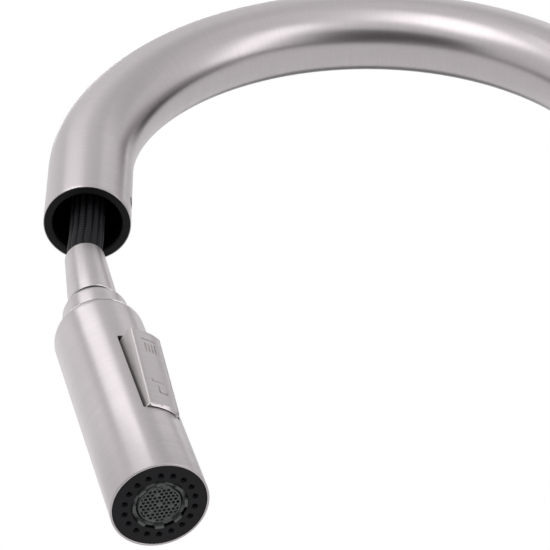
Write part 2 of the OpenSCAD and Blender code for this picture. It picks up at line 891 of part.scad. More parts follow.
module aerator_screen() {
    rim = aerator_r - 1.85;
    open = rim - 0.45;
    blank = [[0, 0], [2, 1], [-3, 2], [1, -3]];
    color(GREY)
        at_head()
            difference() {
                union() {
                    rod(rim, face_z + 0.24, face_z + 4);
                    rod(aerator_bore - 0.15, face_z + 2.2, face_z + 4);
                }
                rod(open, face_z - over, face_z + 0.5);
                rod(open, face_z + 1.8, face_z + 4 + over);
                intersection() {
                    rod(open, face_z, face_z + 2);
                    rotate([0, 0, screen_turn])
                        for (i = [-5:5])
                            for (j = [-5:5]) {
                                x = screen_pitch * (i + j / 2);
                                y = screen_pitch * j * sqrt(3) / 2;
                                drilled = len([for (b = blank) if (b == [i, j]) b]) == 0;
                                if (drilled && norm([x, y]) < open)
                                    translate([x, y, face_z]) rod(screen_hole_r, 0, 2);
                            }
                }
            }
}

module cartridge_body() {
    color(WHITE)
        at_cartridge()
            difference() {
                union() {
                    rod(cart_r, cart_x0, nut_x0 + 1);
                    rod(cart_r - 0.4, nut_x0, cart_x1);
                }
                rod(cart_bore_r, disc_x, cart_x1 - 2.5);
                rod(8.2, cart_x1 - 3, cart_x1 + over);
                for (a = [80, 200, 320])
                    rotate([0, 0, a]) translate([6, 0, 0]) rod(2.2, cart_x0 - over, disc_x + over);
            }
}

module cartridge_seals() {
    color(RUBBER)
        at_cartridge()
            for (a = [80, 200, 320])
                rotate([0, 0, a]) translate([6, 0, 0]) tube(3.4, 2.2, pocket_x, cart_x0);
}

module fixed_disc() {
    color(CERAMIC)
        at_cartridge()
            difference() {
                rod(cart_bore_r - 0.1, disc_x, disc_x + disc_t);
                for (a = [80, 200, 320])
                    rotate([0, 0, a]) translate([6, 0, 0]) rod(2.2, disc_x - over, disc_x + disc_t + over);
            }
}

module cartridge_nut() {
    color(BRASS)
        at_cartridge()
            difference() {
                rod(nut_bore_r - 0.05, nut_x0 + 1, boss_x);
                rod(cart_r - 0.35, nut_x0, cart_x1 + 0.02);
                rod(8.5, cart_x1, boss_x + over);
            }
}

module cartridge_cover() {
    color(STEEL)
        at_cartridge()
            translate([0, 0, lever_x])
                difference() {
                    sphere(r = cover_r, $fn = 96);
                    sphere(r = cover_r - 1.4, $fn = 96);
                    rod(cover_r + over, -cover_r - over, boss_x - lever_x + 0.05);
                    rod(cover_r + over, cover_up, cover_r + over);
                }
}

module stem_turret() {
    color(BLACK)
        at_cartridge()
            difference() {
                union() {
                    rod(cart_bore_r - 0.15, turret_x, cart_x1 - 2.7);
                    rod(8, turret_x, boss_x);
                }
                translate([-6.2, -stem_r - free, turret_x - over])
                    cube([12.4, 2 * (stem_r + free), boss_x - turret_x + 2 * over]);
                translate([0, 0, lever_x]) rotate([90, 0, 0]) rod(1.22, -9, 9);
            }
}

module stem_pin() {
    color(PIN)
        at_cartridge() translate([0, 0, lever_x]) rotate([90, 0, 0]) rod(1.2, -7.4, 7.4);
}

module lever_stem() {
    color(PIN)
        at_cartridge()
            difference() {
                union() {
                    rod(stem_r, lever_x - 4, lever_x + 17);
                    rod(tip_r, lever_x - tip_arm, lever_x - 4);
                    translate([0, 0, lever_x - tip_arm]) sphere(r = tip_r, $fn = 32);
                }
                translate([0, 0, lever_x]) rotate([90, 0, 0]) rod(1.25, -6, 6);
            }
}

// Frame of the hub: the cartridge's, with its origin on the tilt axis
module at_hub() {
    at_cartridge()
        translate([0, 0, lever_x])
            children();
}
// Frame of the rod: its +Z runs up along the rod
module at_rod() {
    translate([0, 0, rod_shift])
        rotate([0, -90 + rod_lean, 0])
            children();
}

module lever_hub() {
    color(STEEL)
        at_hub()
            difference() {
                union() {
                    difference() {
                        sphere(r = hub_r, $fn = 96);
                        sphere(r = hub_r - hub_wall, $fn = 96);
                    }
                    intersection() {
                        rod(core_r, 8, hub_r);
                        sphere(r = hub_r - 1, $fn = 96);
                    }
                    intersection() {
                        rod(11, 17, hub_r);
                        sphere(r = hub_r - 0.5, $fn = 96);
                    }
                }
                rod(hub_r + over, -hub_r - over, rim_up);
                rod(hub_r + over, 18.6, hub_r + over);
                rod(stem_r + 0.05, 7, 17.02);
                translate([0, 0, grub_up]) rotate([0, 90, 0]) rod(1.55, 0, hub_r);
                at_rod() rod(3.05, hub_r - 8, hub_r + over);
            }
}

// The rod leans outward, and its foot sits on the hub's round wall
module lever_rod() {
    color(STEEL)
        at_hub() {
            difference() {
                at_rod()
                    rotate_extrude()
                        polygon([[0, hub_r - 6], [rod_r, hub_r - 6], [rod_r, rod_l - 2],
                            each arc(rod_r - 2, rod_l - 2, 2, 0, 90, 6), [0, rod_l]]);
                sphere(r = hub_r, $fn = 96);
            }
            at_rod() rod(3, hub_r - 3.4, hub_r);
        }
}

module lever_screw() {
    color(DARK_STEEL)
        at_hub()
            translate([0, 0, grub_up])
                rotate([0, 90, 0])
                    difference() {
                        rod(1.5, stem_r + 0.1, core_r + 0.5);
                        translate([0, 0, core_r - 0.8]) cylinder(r = 0.8, h = over + 1, $fn = 6);
                    }
}

module moving_disc() {
    color(CERAMIC)
        at_cartridge()
            difference() {
                rod(mdisc_r, mdisc_x, mdisc_x + disc_t);
                translate([-2.4, -4.6, mdisc_x - over]) cube([4.8, 9.2, over + 1.4]);
            }
}

module disc_carrier() {
    color(BLACK)
        at_cartridge()
            difference() {
                rod(mdisc_r, carrier_x, carrier_x + carrier_t);
                rod(2.9, carrier_x + 0.6, carrier_x + carrier_t + over);
            }
}

deck_gasket();
base_flange();
body_shell();
valve_block();
body_cap();
spout_stop_screw();
threaded_shank();
clamp_gasket();
clamp_washer();
mounting_nut();
clamp_screws();
outlet_pipe();
cartridge_body();
cartridge_seals();
fixed_disc();
cartridge_nut();
cartridge_cover();
hose_in_body();
hose_loop();
hose_connector();
counterweight();
weight_screws();
spout_tube();
spout_foot();
slide_rings();
hose_guide();
dock_insert();
hose_in_spout();
hose_drop();
hose_nut();
hose_ferrule();
hose_nipple();
swivel_ball();
ball_socket();
ball_seal();
handset_shell();
waterway_body();
check_cage();
check_poppet();
poppet_spring();
rocker_cradle();
spray_rocker();
rocker_pin();
diverter_spool();
spool_seals();
spray_face();
nozzle_mat();
aerator_ring();
aerator_screen();
stem_turret();
stem_pin();
lever_stem();
lever_hub();
lever_rod();
lever_screw();
moving_disc();
disc_carrier();
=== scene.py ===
import json

import bmesh
import bpy
import numpy as np
from mathutils import Matrix


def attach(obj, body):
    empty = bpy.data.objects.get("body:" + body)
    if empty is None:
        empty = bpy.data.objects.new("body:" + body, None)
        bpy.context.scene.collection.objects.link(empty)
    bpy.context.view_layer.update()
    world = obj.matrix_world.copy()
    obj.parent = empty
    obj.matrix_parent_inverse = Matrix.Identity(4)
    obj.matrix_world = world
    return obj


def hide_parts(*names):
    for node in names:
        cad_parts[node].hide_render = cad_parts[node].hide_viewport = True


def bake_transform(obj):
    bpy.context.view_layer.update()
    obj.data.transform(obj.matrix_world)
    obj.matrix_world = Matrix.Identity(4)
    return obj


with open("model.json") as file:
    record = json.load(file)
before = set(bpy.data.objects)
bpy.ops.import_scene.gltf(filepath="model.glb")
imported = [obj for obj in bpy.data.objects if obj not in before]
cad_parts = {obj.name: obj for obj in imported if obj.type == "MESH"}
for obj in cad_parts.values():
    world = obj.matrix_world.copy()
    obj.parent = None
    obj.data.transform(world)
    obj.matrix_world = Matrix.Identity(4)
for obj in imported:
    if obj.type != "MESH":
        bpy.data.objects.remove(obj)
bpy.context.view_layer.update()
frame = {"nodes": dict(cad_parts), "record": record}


# Camera. It stands below the outlet, to the right of the faucet, and looks up along the handset into the arch.
# Its place, axes and lens were worked out from the photograph's outlines.
camera_place = (0.43488, -0.15889, -0.35716)
camera_right = (-0.0145, 0.9993, -0.0335)
camera_up = (0.8232, 0.0310, 0.5670)
camera_back = (0.5676, -0.0194, -0.8231)
camera_lens = 142.57
sensor_width = 36

bpy.context.scene.view_settings.view_transform = "Standard"
camera_data = bpy.data.cameras.new("camera")
camera_data.lens = camera_lens
camera_data.sensor_width = sensor_width
camera = bpy.data.objects.new("camera", camera_data)
# The QR step squares the three rounded axes up, and the signs turn each back to its own side.
rounded_axes = np.array([camera_right, camera_up, camera_back]).T
axes = np.linalg.qr(rounded_axes)[0]
axes *= np.sign(np.sum(axes * rounded_axes, axis=0))
place = np.eye(4)
place[:3, :3] = axes
place[:3, 3] = camera_place
camera.matrix_world = Matrix(place.tolist())
bpy.context.scene.collection.objects.link(camera)
bpy.context.scene.camera = camera


# Studio. A white tent with soft boxes before the faucet, beside it and above it, and black flags that draw the
# dark lines along the steel. The boxes and flags stand where the photograph's reflections put them.
tent_centre = np.array([0, -0.12, 0.30])
floor_z = -0.47
strip_y = 1.5
floor_flag_z = -0.395


def linear(colour):
    """An sRGB hex colour as linear RGBA."""
    value = np.array([int(colour[i:i + 2], 16) for i in (1, 3, 5)]) / 255
    value = np.where(value <= 0.04045, value / 12.92, ((value + 0.055) / 1.055) ** 2.4)
    return (*value.tolist(), 1.0)


def add(tree, kind, inputs=None, **settings):
    """Adds a node with its settings. An input that is a socket is linked, and any other is set."""
    node = tree.nodes.new(kind)
    for name, value in settings.items():
        setattr(node, name, value)
    for name, value in (inputs or {}).items():
        if isinstance(value, bpy.types.NodeSocket):
            tree.links.new(value, node.inputs[name])
        else:
            node.inputs[name].default_value = value
    return node


def new_material(name):
    """An empty node material and its tree."""
    material = bpy.data.materials.new(name)
    material.use_nodes = True
    material.node_tree.nodes.clear()
    return material, material.node_tree


# The tent's cloth gives a soft light. The camera, reflections and glass see it white.
world = bpy.data.worlds.new("white_tent")
bpy.context.scene.world = world
world.use_nodes = True
tree = world.node_tree
tree.nodes.clear()
path = add(tree, "ShaderNodeLightPath")
seen = add(tree, "ShaderNodeMath", {
    0: path.outputs["Is Camera Ray"], 1: path.outputs["Is Glossy Ray"]}, operation="MAXIMUM")
seen = add(tree, "ShaderNodeMath", {0: seen.outputs[0], 1: path.outputs["Is Transmission Ray"]}, operation="MAXIMUM")
soft = add(tree, "ShaderNodeBackground", {"Color": linear("#e6e4e4"), "Strength": 0.8})
white = add(tree, "ShaderNodeBackground", {"Color": (1, 1, 1, 1), "Strength": 1.0})
mixed = add(tree, "ShaderNodeMixShader", {0: seen.outputs[0], 1: soft.outputs[0], 2: white.outputs[0]})
add(tree, "ShaderNodeOutputWorld", {"Surface": mixed.outputs[0]})


def aimed(azimuth, elevation, distance):
    """Place at that direction from the tent's centre, in degrees from +X toward +Y and up, and the axes of a
    thing there that faces the centre: right, up and back."""
    a, e = np.radians(azimuth), np.radians(elevation)
    back = -np.array([np.cos(e) * np.cos(a), np.cos(e) * np.sin(a), np.sin(e)])
    right = np.cross([0, 0, 1], back)
    right /= np.linalg.norm(right)
    return tent_centre - back * distance, np.array([right, np.cross(back, right), back])


def soft_box(name, azimuth, elevation, distance, width, height, radiance):
    """Rectangular lamp that shines on the centre, along its own -Z. A lamp's power is pi times its area times its
    radiance."""
    data = bpy.data.lights.new(name, "AREA")
    data.shape, data.size, data.size_y = "RECTANGLE", width, height
    data.energy = np.pi * width * height * radiance
    lamp = bpy.data.objects.new(name, data)
    middle, axes = aimed(azimuth, elevation, distance)
    place = np.eye(4)
    place[:3, :3] = np.array([axes[0], np.cross(-axes[2], axes[0]), -axes[2]]).T
    place[:3, 3] = middle
    lamp.matrix_world = Matrix(place.tolist())
    bpy.context.scene.collection.objects.link(lamp)


def flag(name, corners, radiance):
    """Card that only reflections see, of an even radiance."""
    mesh = bpy.data.meshes.new(name)
    mesh.from_pydata([tuple(map(float, c)) for c in corners], [], [tuple(range(len(corners)))])
    card = bpy.data.objects.new(name, mesh)
    bpy.context.scene.collection.objects.link(card)
    material, tree = new_material(name)
    light = add(tree, "ShaderNodeEmission", {"Color": (radiance, radiance, radiance, 1)})
    add(tree, "ShaderNodeOutputMaterial", {"Surface": light.outputs[0]})
    mesh.materials.append(material)
    for ray in ("camera", "diffuse", "shadow", "transmission", "volume_scatter"):
        setattr(card, "visible_" + ray, False)


def facing_flag(name, azimuth, elevation, distance, width, height, radiance):
    """Rectangular flag that faces the centre."""
    middle, (right, up, back) = aimed(azimuth, elevation, distance)
    flag(name, [middle + right * width / 2 * a + up * height / 2 * b for a, b in ((-1, -1), (1, -1), (1, 1), (-1, 1))],
         radiance)


soft_box("front_box", -24, -7, 1.5, 0.96, 0.96, 2.0)
soft_box("low_side_box", 52, -26, 1.1, 1.15, 0.46, 1.65)
soft_box("back_box", -160, 69, 2.0, 0.70, 0.55, 3.0)
soft_box("high_front_box", -38, 42, 0.9, 0.52, 0.15, 2.9)
soft_box("left_box", -112, 42, 1.8, 2.4, 0.5, 0.4)
soft_box("high_side_box", 78, 67, 3.0, 2.4, 0.45, 0.6)
flag("strip_flag", [(x, strip_y, z) for x, z in ((0.02, -0.39), (-0.36, -0.39), (-0.37, 0.30), (-1.03, 2.3),
                                                 (-0.38, 2.3), (0.0, 0.30))], 0.0)
flag("floor_flag", [(x, y, floor_flag_z) for x, y in ((-0.12, -1.2), (0.55, -1.2), (0.55, 0.22), (-0.12, 0.22))],
     0.13)
facing_flag("back_flag", 178, 30, 1.8, 0.75, 0.9, 0.2)
facing_flag("side_flag", 35, 42, 2.0, 1.5, 1.0, 0.78)

floor_half = 5
floor_mesh = bpy.data.meshes.new("floor")
floor_mesh.from_pydata([(floor_half * a, floor_half * b, floor_z) for a, b in ((-1, -1), (1, -1), (1, 1), (-1, 1))],
                       [], [(0, 1, 2, 3)])
floor = bpy.data.objects.new("floor", floor_mesh)
bpy.context.scene.collection.objects.link(floor)
# Matt white paper. Reflections see it as white as the tent, so that the steel mirrors one even room.
paper, tree = new_material("white_paper")
path = add(tree, "ShaderNodeLightPath")
paint = add(tree, "ShaderNodeBsdfDiffuse", {"Color": linear("#efeeed")})
glow = add(tree, "ShaderNodeEmission", {"Color": (1, 1, 1, 1), "Strength": 1.0})
mixed = add(tree, "ShaderNodeMixShader", {0: path.outputs["Is Glossy Ray"], 1: paint.outputs[0], 2: glow.outputs[0]})
add(tree, "ShaderNodeOutputMaterial", {"Surface": mixed.outputs[0]})
floor_mesh.materials.append(paper)


# Braided hose. The real one is a rubber tube under a black nylon braid. It is drawn as two cords, the run in the
# spout with the free stretch at the outlet, and the loop under the deck, from the shank to the outlet pipe's
# connector. A third piece joins them inside the body.
mm = 0.001
hose_r = 6.35 * mm
arch_r = 105.7 * mm
spring_z = 346 * mm
reach = 2 * arch_r
outlet_z = 310 * mm
nut_z = 287 * mm
swing_side = np.radians(-7)
nut_lean = np.radians(8.2)
braid_ribs = 14
rib_height = 0.4
thread_height = 0.25
thread_pitch = 1.1 * mm
bend_in = 14 * mm


def turn(axis, angle):
    """Rotation matrix by an angle in radians about one of the row's axes."""
    return np.array(Matrix.Rotation(angle, 3, axis))


def new_piece(name, mesh, material, nodes=()):
    """An object of that mesh, which stands for the CAD nodes and takes its finish from that slot."""
    mesh.name = name
    piece = bpy.data.objects.new(name, mesh)
    bpy.context.scene.collection.objects.link(piece)
    piece.data.materials.clear()
    piece.data.materials.append(material)
    if nodes:
        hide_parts(*nodes)
    return piece


def skin(points, lay, closed, edge=30):
    """Mesh of a grid of points, row by row along the piece and column by column round it.

    points and lay are (rows, columns, 3). The columns join up, and so do the rows where closed. The UV map has
    the way along the piece in U and the turn in V, and lay is kept as an attribute of each point."""
    rows, columns = points.shape[:2]
    last = rows if closed else rows - 1
    i, j = np.meshgrid(np.arange(last), np.arange(columns), indexing="ij")
    up, over = (i + 1) % rows, (j + 1) % columns
    quads = np.stack([i * columns + j, up * columns + j, up * columns + over, i * columns + over], -1)
    quads = quads.reshape(-1, 4)
    flat = points.reshape(-1, 3)
    corner = flat[quads]
    volume = np.sum(corner[:, 0] * (np.cross(corner[:, 1], corner[:, 2]) + np.cross(corner[:, 2], corner[:, 3])))
    along = np.concatenate([[0], np.cumsum(np.linalg.norm(np.roll(points, -1, 0) - points, axis=2).mean(1))])
    steps = np.stack([i, i + 1, i + 1, i], -1).reshape(-1, 4)
    turns = np.stack([j, j, j + 1, j + 1], -1).reshape(-1, 4)
    if volume < 0:
        quads, steps, turns = quads[:, ::-1], steps[:, ::-1], turns[:, ::-1]
    mesh = bpy.data.meshes.new("skin")
    mesh.vertices.add(len(flat))
    mesh.vertices.foreach_set("co", flat.astype(np.float32).ravel())
    mesh.loops.add(quads.size)
    mesh.loops.foreach_set("vertex_index", quads.astype(np.int32).ravel())
    mesh.polygons.add(len(quads))
    mesh.polygons.foreach_set("loop_start", np.arange(0, quads.size, 4, dtype=np.int32))
    mesh.update(calc_edges=True)
    uv = np.stack([along[steps] * 10, turns / columns], -1)
    mesh.uv_layers.new(name="way").data.foreach_set("uv", uv.astype(np.float32).ravel())
    mesh.attributes.new("lay", "FLOAT_VECTOR", "POINT").data.foreach_set("vector", lay.astype(np.float32).ravel())
    close_poles(mesh)
    mesh.shade_smooth()
    mesh.set_sharp_from_angle(angle=np.radians(edge))
    return mesh


def close_poles(mesh):
    """Merges the points of a row that has no radius, and drops the faces that this leaves flat."""
    work = bmesh.new()
    work.from_mesh(mesh)
    bmesh.ops.remove_doubles(work, verts=work.verts, dist=1e-7)
    bmesh.ops.dissolve_degenerate(work, edges=work.edges, dist=1e-8)
    work.to_mesh(mesh)
    work.free()


def smooth_line(points, count):
    """Cubic curve through the points, whose slope at a point is that of its neighbours' chord."""
    points = np.array(points, float)
    way = np.concatenate([[0], np.cumsum(np.linalg.norm(np.diff(points, axis=0), axis=1))])
    slope = np.gradient(points, way, axis=0)
    at = np.linspace(0, way[-1], count)
    k = np.clip(np.searchsorted(way, at, side="right") - 1, 0, len(way) - 2)
    span = (way[k + 1] - way[k])[:, None]
    t = ((at - way[k])[:, None]) / span
    return ((1 + 2 * t) * (1 - t) ** 2 * points[k] + t * (1 - t) ** 2 * span * slope[k]
            + t * t * (3 - 2 * t) * points[k + 1] + t * t * (t - 1) * span * slope[k + 1])


def braided_tube(line, columns, pitch):
    """Tube round a line that lies in the plane of the arch, or close to it. Its radius rises by a power of the
    cosine of the turn in lengthwise ribs, and on each rib by a cosine of the way in cross threads a pitch apart,
    level from rib to rib. Their heights are in millimetres. It ends in flat caps."""
    way = np.concatenate([[0], np.cumsum(np.linalg.norm(np.diff(line, axis=0), axis=1))])
    ahead = np.gradient(line, axis=0)
    ahead /= np.linalg.norm(ahead, axis=1)[:, None]
    out = np.cross(ahead, [1.0, 0, 0])
    out /= np.linalg.norm(out, axis=1)[:, None]
    side = np.cross(out, ahead)
    theta = np.linspace(0, 2 * np.pi, columns, endpoint=False)[None, :]
    rib = np.abs(np.cos(braid_ribs / 2 * theta)) ** 0.7
    thread = 0.5 + 0.5 * np.cos(2 * np.pi * way[:, None] / pitch)
    radius = hose_r + (rib_height * rib + thread_height * thread * rib - (rib_height + thread_height)) * mm
    around = np.cos(theta)[..., None] * out[:, None] + np.sin(theta)[..., None] * side[:, None]
    points = line[:, None] + radius[..., None] * around
    ends = [np.repeat(line[k][None, None], columns, 1) for k in (0, -1)]
    points = np.concatenate([ends[0], points, ends[1]])
    lay = np.stack([hose_r * np.cos(theta) + 0 * way[:, None], hose_r * np.sin(theta) + 0 * way[:, None],
                    way[:, None] + 0 * theta], -1)
    return skin(points, np.concatenate([lay[:1], lay, lay[-1:]]), closed=False, edge=50)


def nylon_braid():
    """Woven black nylon: semi-matt threads. Their crowns, one to each thread's pitch on each rib, are painted a
    little paler as a painted highlight, and the gaps between them stay black as painted shade."""
    material, tree = new_material("woven_black_nylon")
    lay = add(tree, "ShaderNodeAttribute", attribute_name="lay")
    weave = add(tree, "ShaderNodeMapping", {"Vector": lay.outputs["Vector"], "Scale": (900, 900, 2600)})
    threads = add(tree, "ShaderNodeTexNoise", {"Vector": weave.outputs[0], "Scale": 1.0, "Detail": 2.0})
    way = add(tree, "ShaderNodeSeparateXYZ", {"Vector": lay.outputs["Vector"]})
    step = add(tree, "ShaderNodeMath", {0: way.outputs["Z"], 1: 2 * np.pi / thread_pitch}, operation="MULTIPLY")
    rung = add(tree, "ShaderNodeMath", {0: step.outputs[0]}, operation="COSINE")
    crown = add(tree, "ShaderNodeMath", {0: rung.outputs[0], 1: 1.6, 2: threads.outputs[0]}, operation="MULTIPLY_ADD")
    angle = add(tree, "ShaderNodeMath", {0: way.outputs["Y"], 1: way.outputs["X"]}, operation="ARCTAN2")
    angle = add(tree, "ShaderNodeMath", {0: angle.outputs[0], 1: braid_ribs / 2}, operation="MULTIPLY")
    rib = add(tree, "ShaderNodeMath", {0: angle.outputs[0]}, operation="COSINE")
    rib = add(tree, "ShaderNodeMath", {0: rib.outputs[0]}, operation="ABSOLUTE")
    crown = add(tree, "ShaderNodeMath", {0: crown.outputs[0], 1: rib.outputs[0]}, operation="MULTIPLY")
    # Painted highlight and shade: the crowns take the paler colour and the gaps between them the black.
    colour = add(tree, "ShaderNodeMixRGB", {
        "Fac": crown.outputs[0], "Color1": linear("#010102"), "Color2": linear("#2e2f33")}, use_clamp=True)
    bump = add(tree, "ShaderNodeBump", {"Strength": 0.5, "Distance": 0.08 * mm, "Height": threads.outputs[0]})
    shader = add(tree, "ShaderNodeBsdfPrincipled", {
        "Base Color": colour.outputs[0], "Roughness": 0.45, "Specular IOR Level": 0.12, "Normal": bump.outputs[0]})
    add(tree, "ShaderNodeOutputMaterial", {"Surface": shader.outputs[0]})
    return material


braid = nylon_braid()
nut_turn = turn("Z", swing_side) @ turn("X", nut_lean)
nut_place = np.array([0, -reach, nut_z])
bend = np.radians(np.linspace(0, 180, 91))[:, None]
over_arch = np.concatenate([0 * bend, -arch_r + arch_r * np.cos(bend), spring_z + arch_r * np.sin(bend)], 1)
drop = np.linspace(spring_z - 1 * mm, nut_z + bend_in, 240)[:, None]
down = np.concatenate([0 * drop, 0 * drop - reach, drop], 1)
# The last bend before the nut is a cubic curve from straight down to the nut's own axis.
nut_down = nut_turn @ [0, 0, -1]
ease = np.linspace(0, 1, 79)[1:, None]
run_in = (1 - ease) ** 2 * (1 + 2 * ease) * down[-1] + ease ** 2 * (3 - 2 * ease) * nut_place \
    + bend_in * (ease * (1 - ease) ** 2 * np.array([0, 0, -1]) + ease ** 2 * (ease - 1) * nut_down)
inside = nut_place + np.linspace(0.5, 3, 6)[:, None] * mm * nut_down
hose_line = np.concatenate([over_arch, down, run_in, inside])
hose = new_piece("braided_hose", braided_tube(hose_line, 112, thread_pitch), braid,
                 ("hose_drop", "hose_in_spout"))
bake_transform(hose)

hang_y = -22
loop_route = np.array([
    [0, 0, -62], [0, -1.5, -80], [0, -5.5, -94], [0, -11, -108], [0, -16.5, -122], [0, -20.5, -136],
    [0, hang_y, -154], [0, hang_y, -210], [0, hang_y, -260], [0, hang_y, -300], [0, hang_y, -320],
    [0, -26, -340], [0, -37, -357], [0, -54, -368], [0, -74, -372], [0, -94, -368], [0, -111, -357],
    [0, -122, -340], [0, -126, -320], [0, -126, -290], [0, -126, -250], [0, -124, -220], [0, -117, -190],
    [0, -104, -164], [0, -86, -144], [0, -68, -126], [0, -40.8, -98.8]]) * mm
loop_line = smooth_line(loop_route, 900)
# The threads lie 1.1 mm apart in the real braid. Here they are drawn 3 mm apart, so that the long loop stays light.
loop = new_piece("hose_under_the_deck", braided_tube(loop_line, 84, 3 * mm), braid, ("hose_loop",))
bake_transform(loop)
# Inside the body nothing of the braid shows, and its threads are drawn 8 mm apart.
rise_line = np.linspace([0, 0, -62 * mm], [0, 0, spring_z], 120)
rise = new_piece("hose_in_the_body", braided_tube(rise_line, 56, 8 * mm), braid, ("hose_in_body",))
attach(rise, "faucet_body")


# Spout. The real one is a welded stainless tube, bent on a mandrel and brushed round its girth, so its
# highlights run along it and are sharp across it. Its mouth is stepped for the black insert, and a window near
# the mouth takes the insert's snap button.
tube_r = 16 * mm
tube_in = 14.5 * mm
tube_foot = 147 * mm
mouth_bore = 15.7 * mm
mouth_step = 2.8 * mm
window_r = 3.35 * mm
window_z = 321.4 * mm


def rounded(profile, radius):
    """A profile of points in millimetres with each corner rounded to that radius, or as far as its sides allow. A
    corner is a quadratic curve of three steps, and one of more than 172 degrees is left as it is."""
    profile = np.array(profile, float)
    before, after = np.roll(profile, 1, 0) - profile, np.roll(profile, -1, 0) - profile
    length_in, length_out = np.linalg.norm(before, axis=1), np.linalg.norm(after, axis=1)
    before, after = before / length_in[:, None], after / length_out[:, None]
    half = np.arccos(np.clip(np.sum(before * after, 1), -1, 1)) / 2
    reach_in = np.minimum(radius / np.tan(half), 0.45 * np.minimum(length_in, length_out))[:, None]
    reach_in = np.where(half[:, None] > np.radians(86), 1e-3, reach_in)
    t = np.linspace(0, 1, 4)[None, :, None]
    start, end = (profile + before * reach_in)[:, None], (profile + after * reach_in)[:, None]
    return ((1 - t) ** 2 * start + 2 * t * (1 - t) * profile[:, None] + t * t * end).reshape(-1, 2)


leg_l = spring_z - tube_foot
arch_l = np.pi * arch_r


def along_spout(profile):
    """Tube whose profile points are (way, radius) in metres. The way runs up the leg from its foot, over the half
    circle of the arch, and down to the mouth. A ring of points goes round the line at each of them."""
    way, radius = profile[:, :1], profile[:, 1, None, None]
    angle = np.clip((way - leg_l) / arch_r, 0, np.pi)
    rise = np.minimum(way - leg_l, 0) - np.maximum(way - leg_l - arch_l, 0)
    middle = np.stack([0 * way, -arch_r + arch_r * np.cos(angle), spring_z + arch_r * np.sin(angle) + rise], -1)
    inward = np.stack([0 * way, -np.cos(angle), -np.sin(angle)], -1)
    theta = np.linspace(0, 2 * np.pi, 128, endpoint=False)[None, :]
    around = np.cos(theta)[..., None] * inward + np.sin(theta)[..., None] * np.array([1.0, 0, 0])
    lay = np.stack([tube_r * np.cos(theta) + 0 * way, tube_r * np.sin(theta) + 0 * way, way + 0 * theta], -1)
    return skin(middle + radius * around, lay, closed=True)


def brushed_steel(name):
    """Stainless steel brushed round its girth: grey with a faintly warm tone. The fine lines spread a highlight
    along the piece and leave it sharp across. The real lines lie about 0.1 mm apart and are drawn 0.5 mm apart,
    so that they show."""
    material, tree = new_material(name)
    lay = add(tree, "ShaderNodeAttribute", attribute_name="lay")
    fine = add(tree, "ShaderNodeMapping", {"Vector": lay.outputs["Vector"], "Scale": (70, 70, 1 / (0.5 * mm))})
    lines = add(tree, "ShaderNodeTexNoise", {"Vector": fine.outputs[0], "Scale": 1.0, "Detail": 3.0, "Roughness": 0.7})
    broad = add(tree, "ShaderNodeMapping", {"Vector": lay.outputs["Vector"], "Scale": (40, 40, 180)})
    cloud = add(tree, "ShaderNodeTexNoise", {"Vector": broad.outputs[0], "Scale": 1.0, "Detail": 2.0})
    mixed = add(tree, "ShaderNodeMath", {0: cloud.outputs[0], 1: 0.2, 2: lines.outputs[0]}, operation="MULTIPLY_ADD")
    shade = add(tree, "ShaderNodeMapRange", {
        "Value": mixed.outputs[0], "From Min": 0.3, "From Max": 0.9, "To Min": 0.0, "To Max": 1.0})
    colour = add(tree, "ShaderNodeMixRGB", {
        "Fac": shade.outputs[0], "Color1": linear("#ada7a9"), "Color2": linear("#b7b1b3")})
    rough = add(tree, "ShaderNodeMapRange", {
        "Value": mixed.outputs[0], "From Min": 0.3, "From Max": 0.9, "To Min": 0.34, "To Max": 0.28})
    bump = add(tree, "ShaderNodeBump", {"Strength": 0.35, "Distance": 0.012 * mm, "Height": lines.outputs[0]})
    tangent = add(tree, "ShaderNodeTangent", direction_type="UV_MAP", uv_map="way")
    shader = add(tree, "ShaderNodeBsdfPrincipled", {
        "Base Color": colour.outputs[0], "Metallic": 1.0, "Roughness": rough.outputs[0], "Anisotropic": 0.5,
        "Tangent": tangent.outputs[0], "Normal": bump.outputs[0]})
    add(tree, "ShaderNodeOutputMaterial", {"Surface": shader.outputs[0]})
    return material


def cut(piece, mesh):
    """Cuts a closed mesh out of a piece, and keeps the result as its mesh."""
    tool = bpy.data.objects.new("cutter", mesh)
    bpy.context.scene.collection.objects.link(tool)
    step = piece.modifiers.new("cut", "BOOLEAN")
    step.operation, step.solver, step.object = "DIFFERENCE", "EXACT", tool
    made = bpy.data.meshes.new_from_object(piece.evaluated_get(bpy.context.evaluated_depsgraph_get()))
    piece.modifiers.clear()
    bpy.data.objects.remove(tool)
    old, name = piece.data, piece.data.name
    piece.data = made
    bpy.data.meshes.remove(old)
    made.name = name
    made.shade_smooth()
    made.set_sharp_from_angle(angle=np.radians(30))


def round_bar(start, end, radius):
    """Closed cylinder between two points: a circle about the line at each end, and a point in the middle of it."""
    start, end = np.array(start, float), np.array(end, float)
    ahead = (end - start) / np.linalg.norm(end - start)
    out = np.cross(ahead, [0.3, 0.5, 0.81])
    out /= np.linalg.norm(out)
    side = np.cross(ahead, out)
    theta = np.linspace(0, 2 * np.pi, 64, endpoint=False)[:, None]
    ring = np.cos(theta) * out + np.sin(theta) * side
    points = np.stack([start + 0 * ring, start + radius * ring, end + radius * ring, end + 0 * ring])
    return skin(points, points, closed=False)


mouth = leg_l + arch_l + spring_z - outlet_z
bend_steps = np.linspace(leg_l, leg_l + arch_l, 121)
mouth_edge = rounded([[(mouth - 1.2 * mm) / mm, tube_r / mm], [mouth / mm, tube_r / mm],
                      [mouth / mm, mouth_bore / mm], [(mouth - mouth_step) / mm, mouth_bore / mm],
                      [(mouth - mouth_step) / mm, tube_in / mm], [(mouth - 6 * mm) / mm, tube_in / mm]], 0.12)
outer = np.concatenate([[0], bend_steps, [mouth - 2 * mm]])
inner = np.concatenate([[mouth - 8 * mm], bend_steps[::-1], [0]])
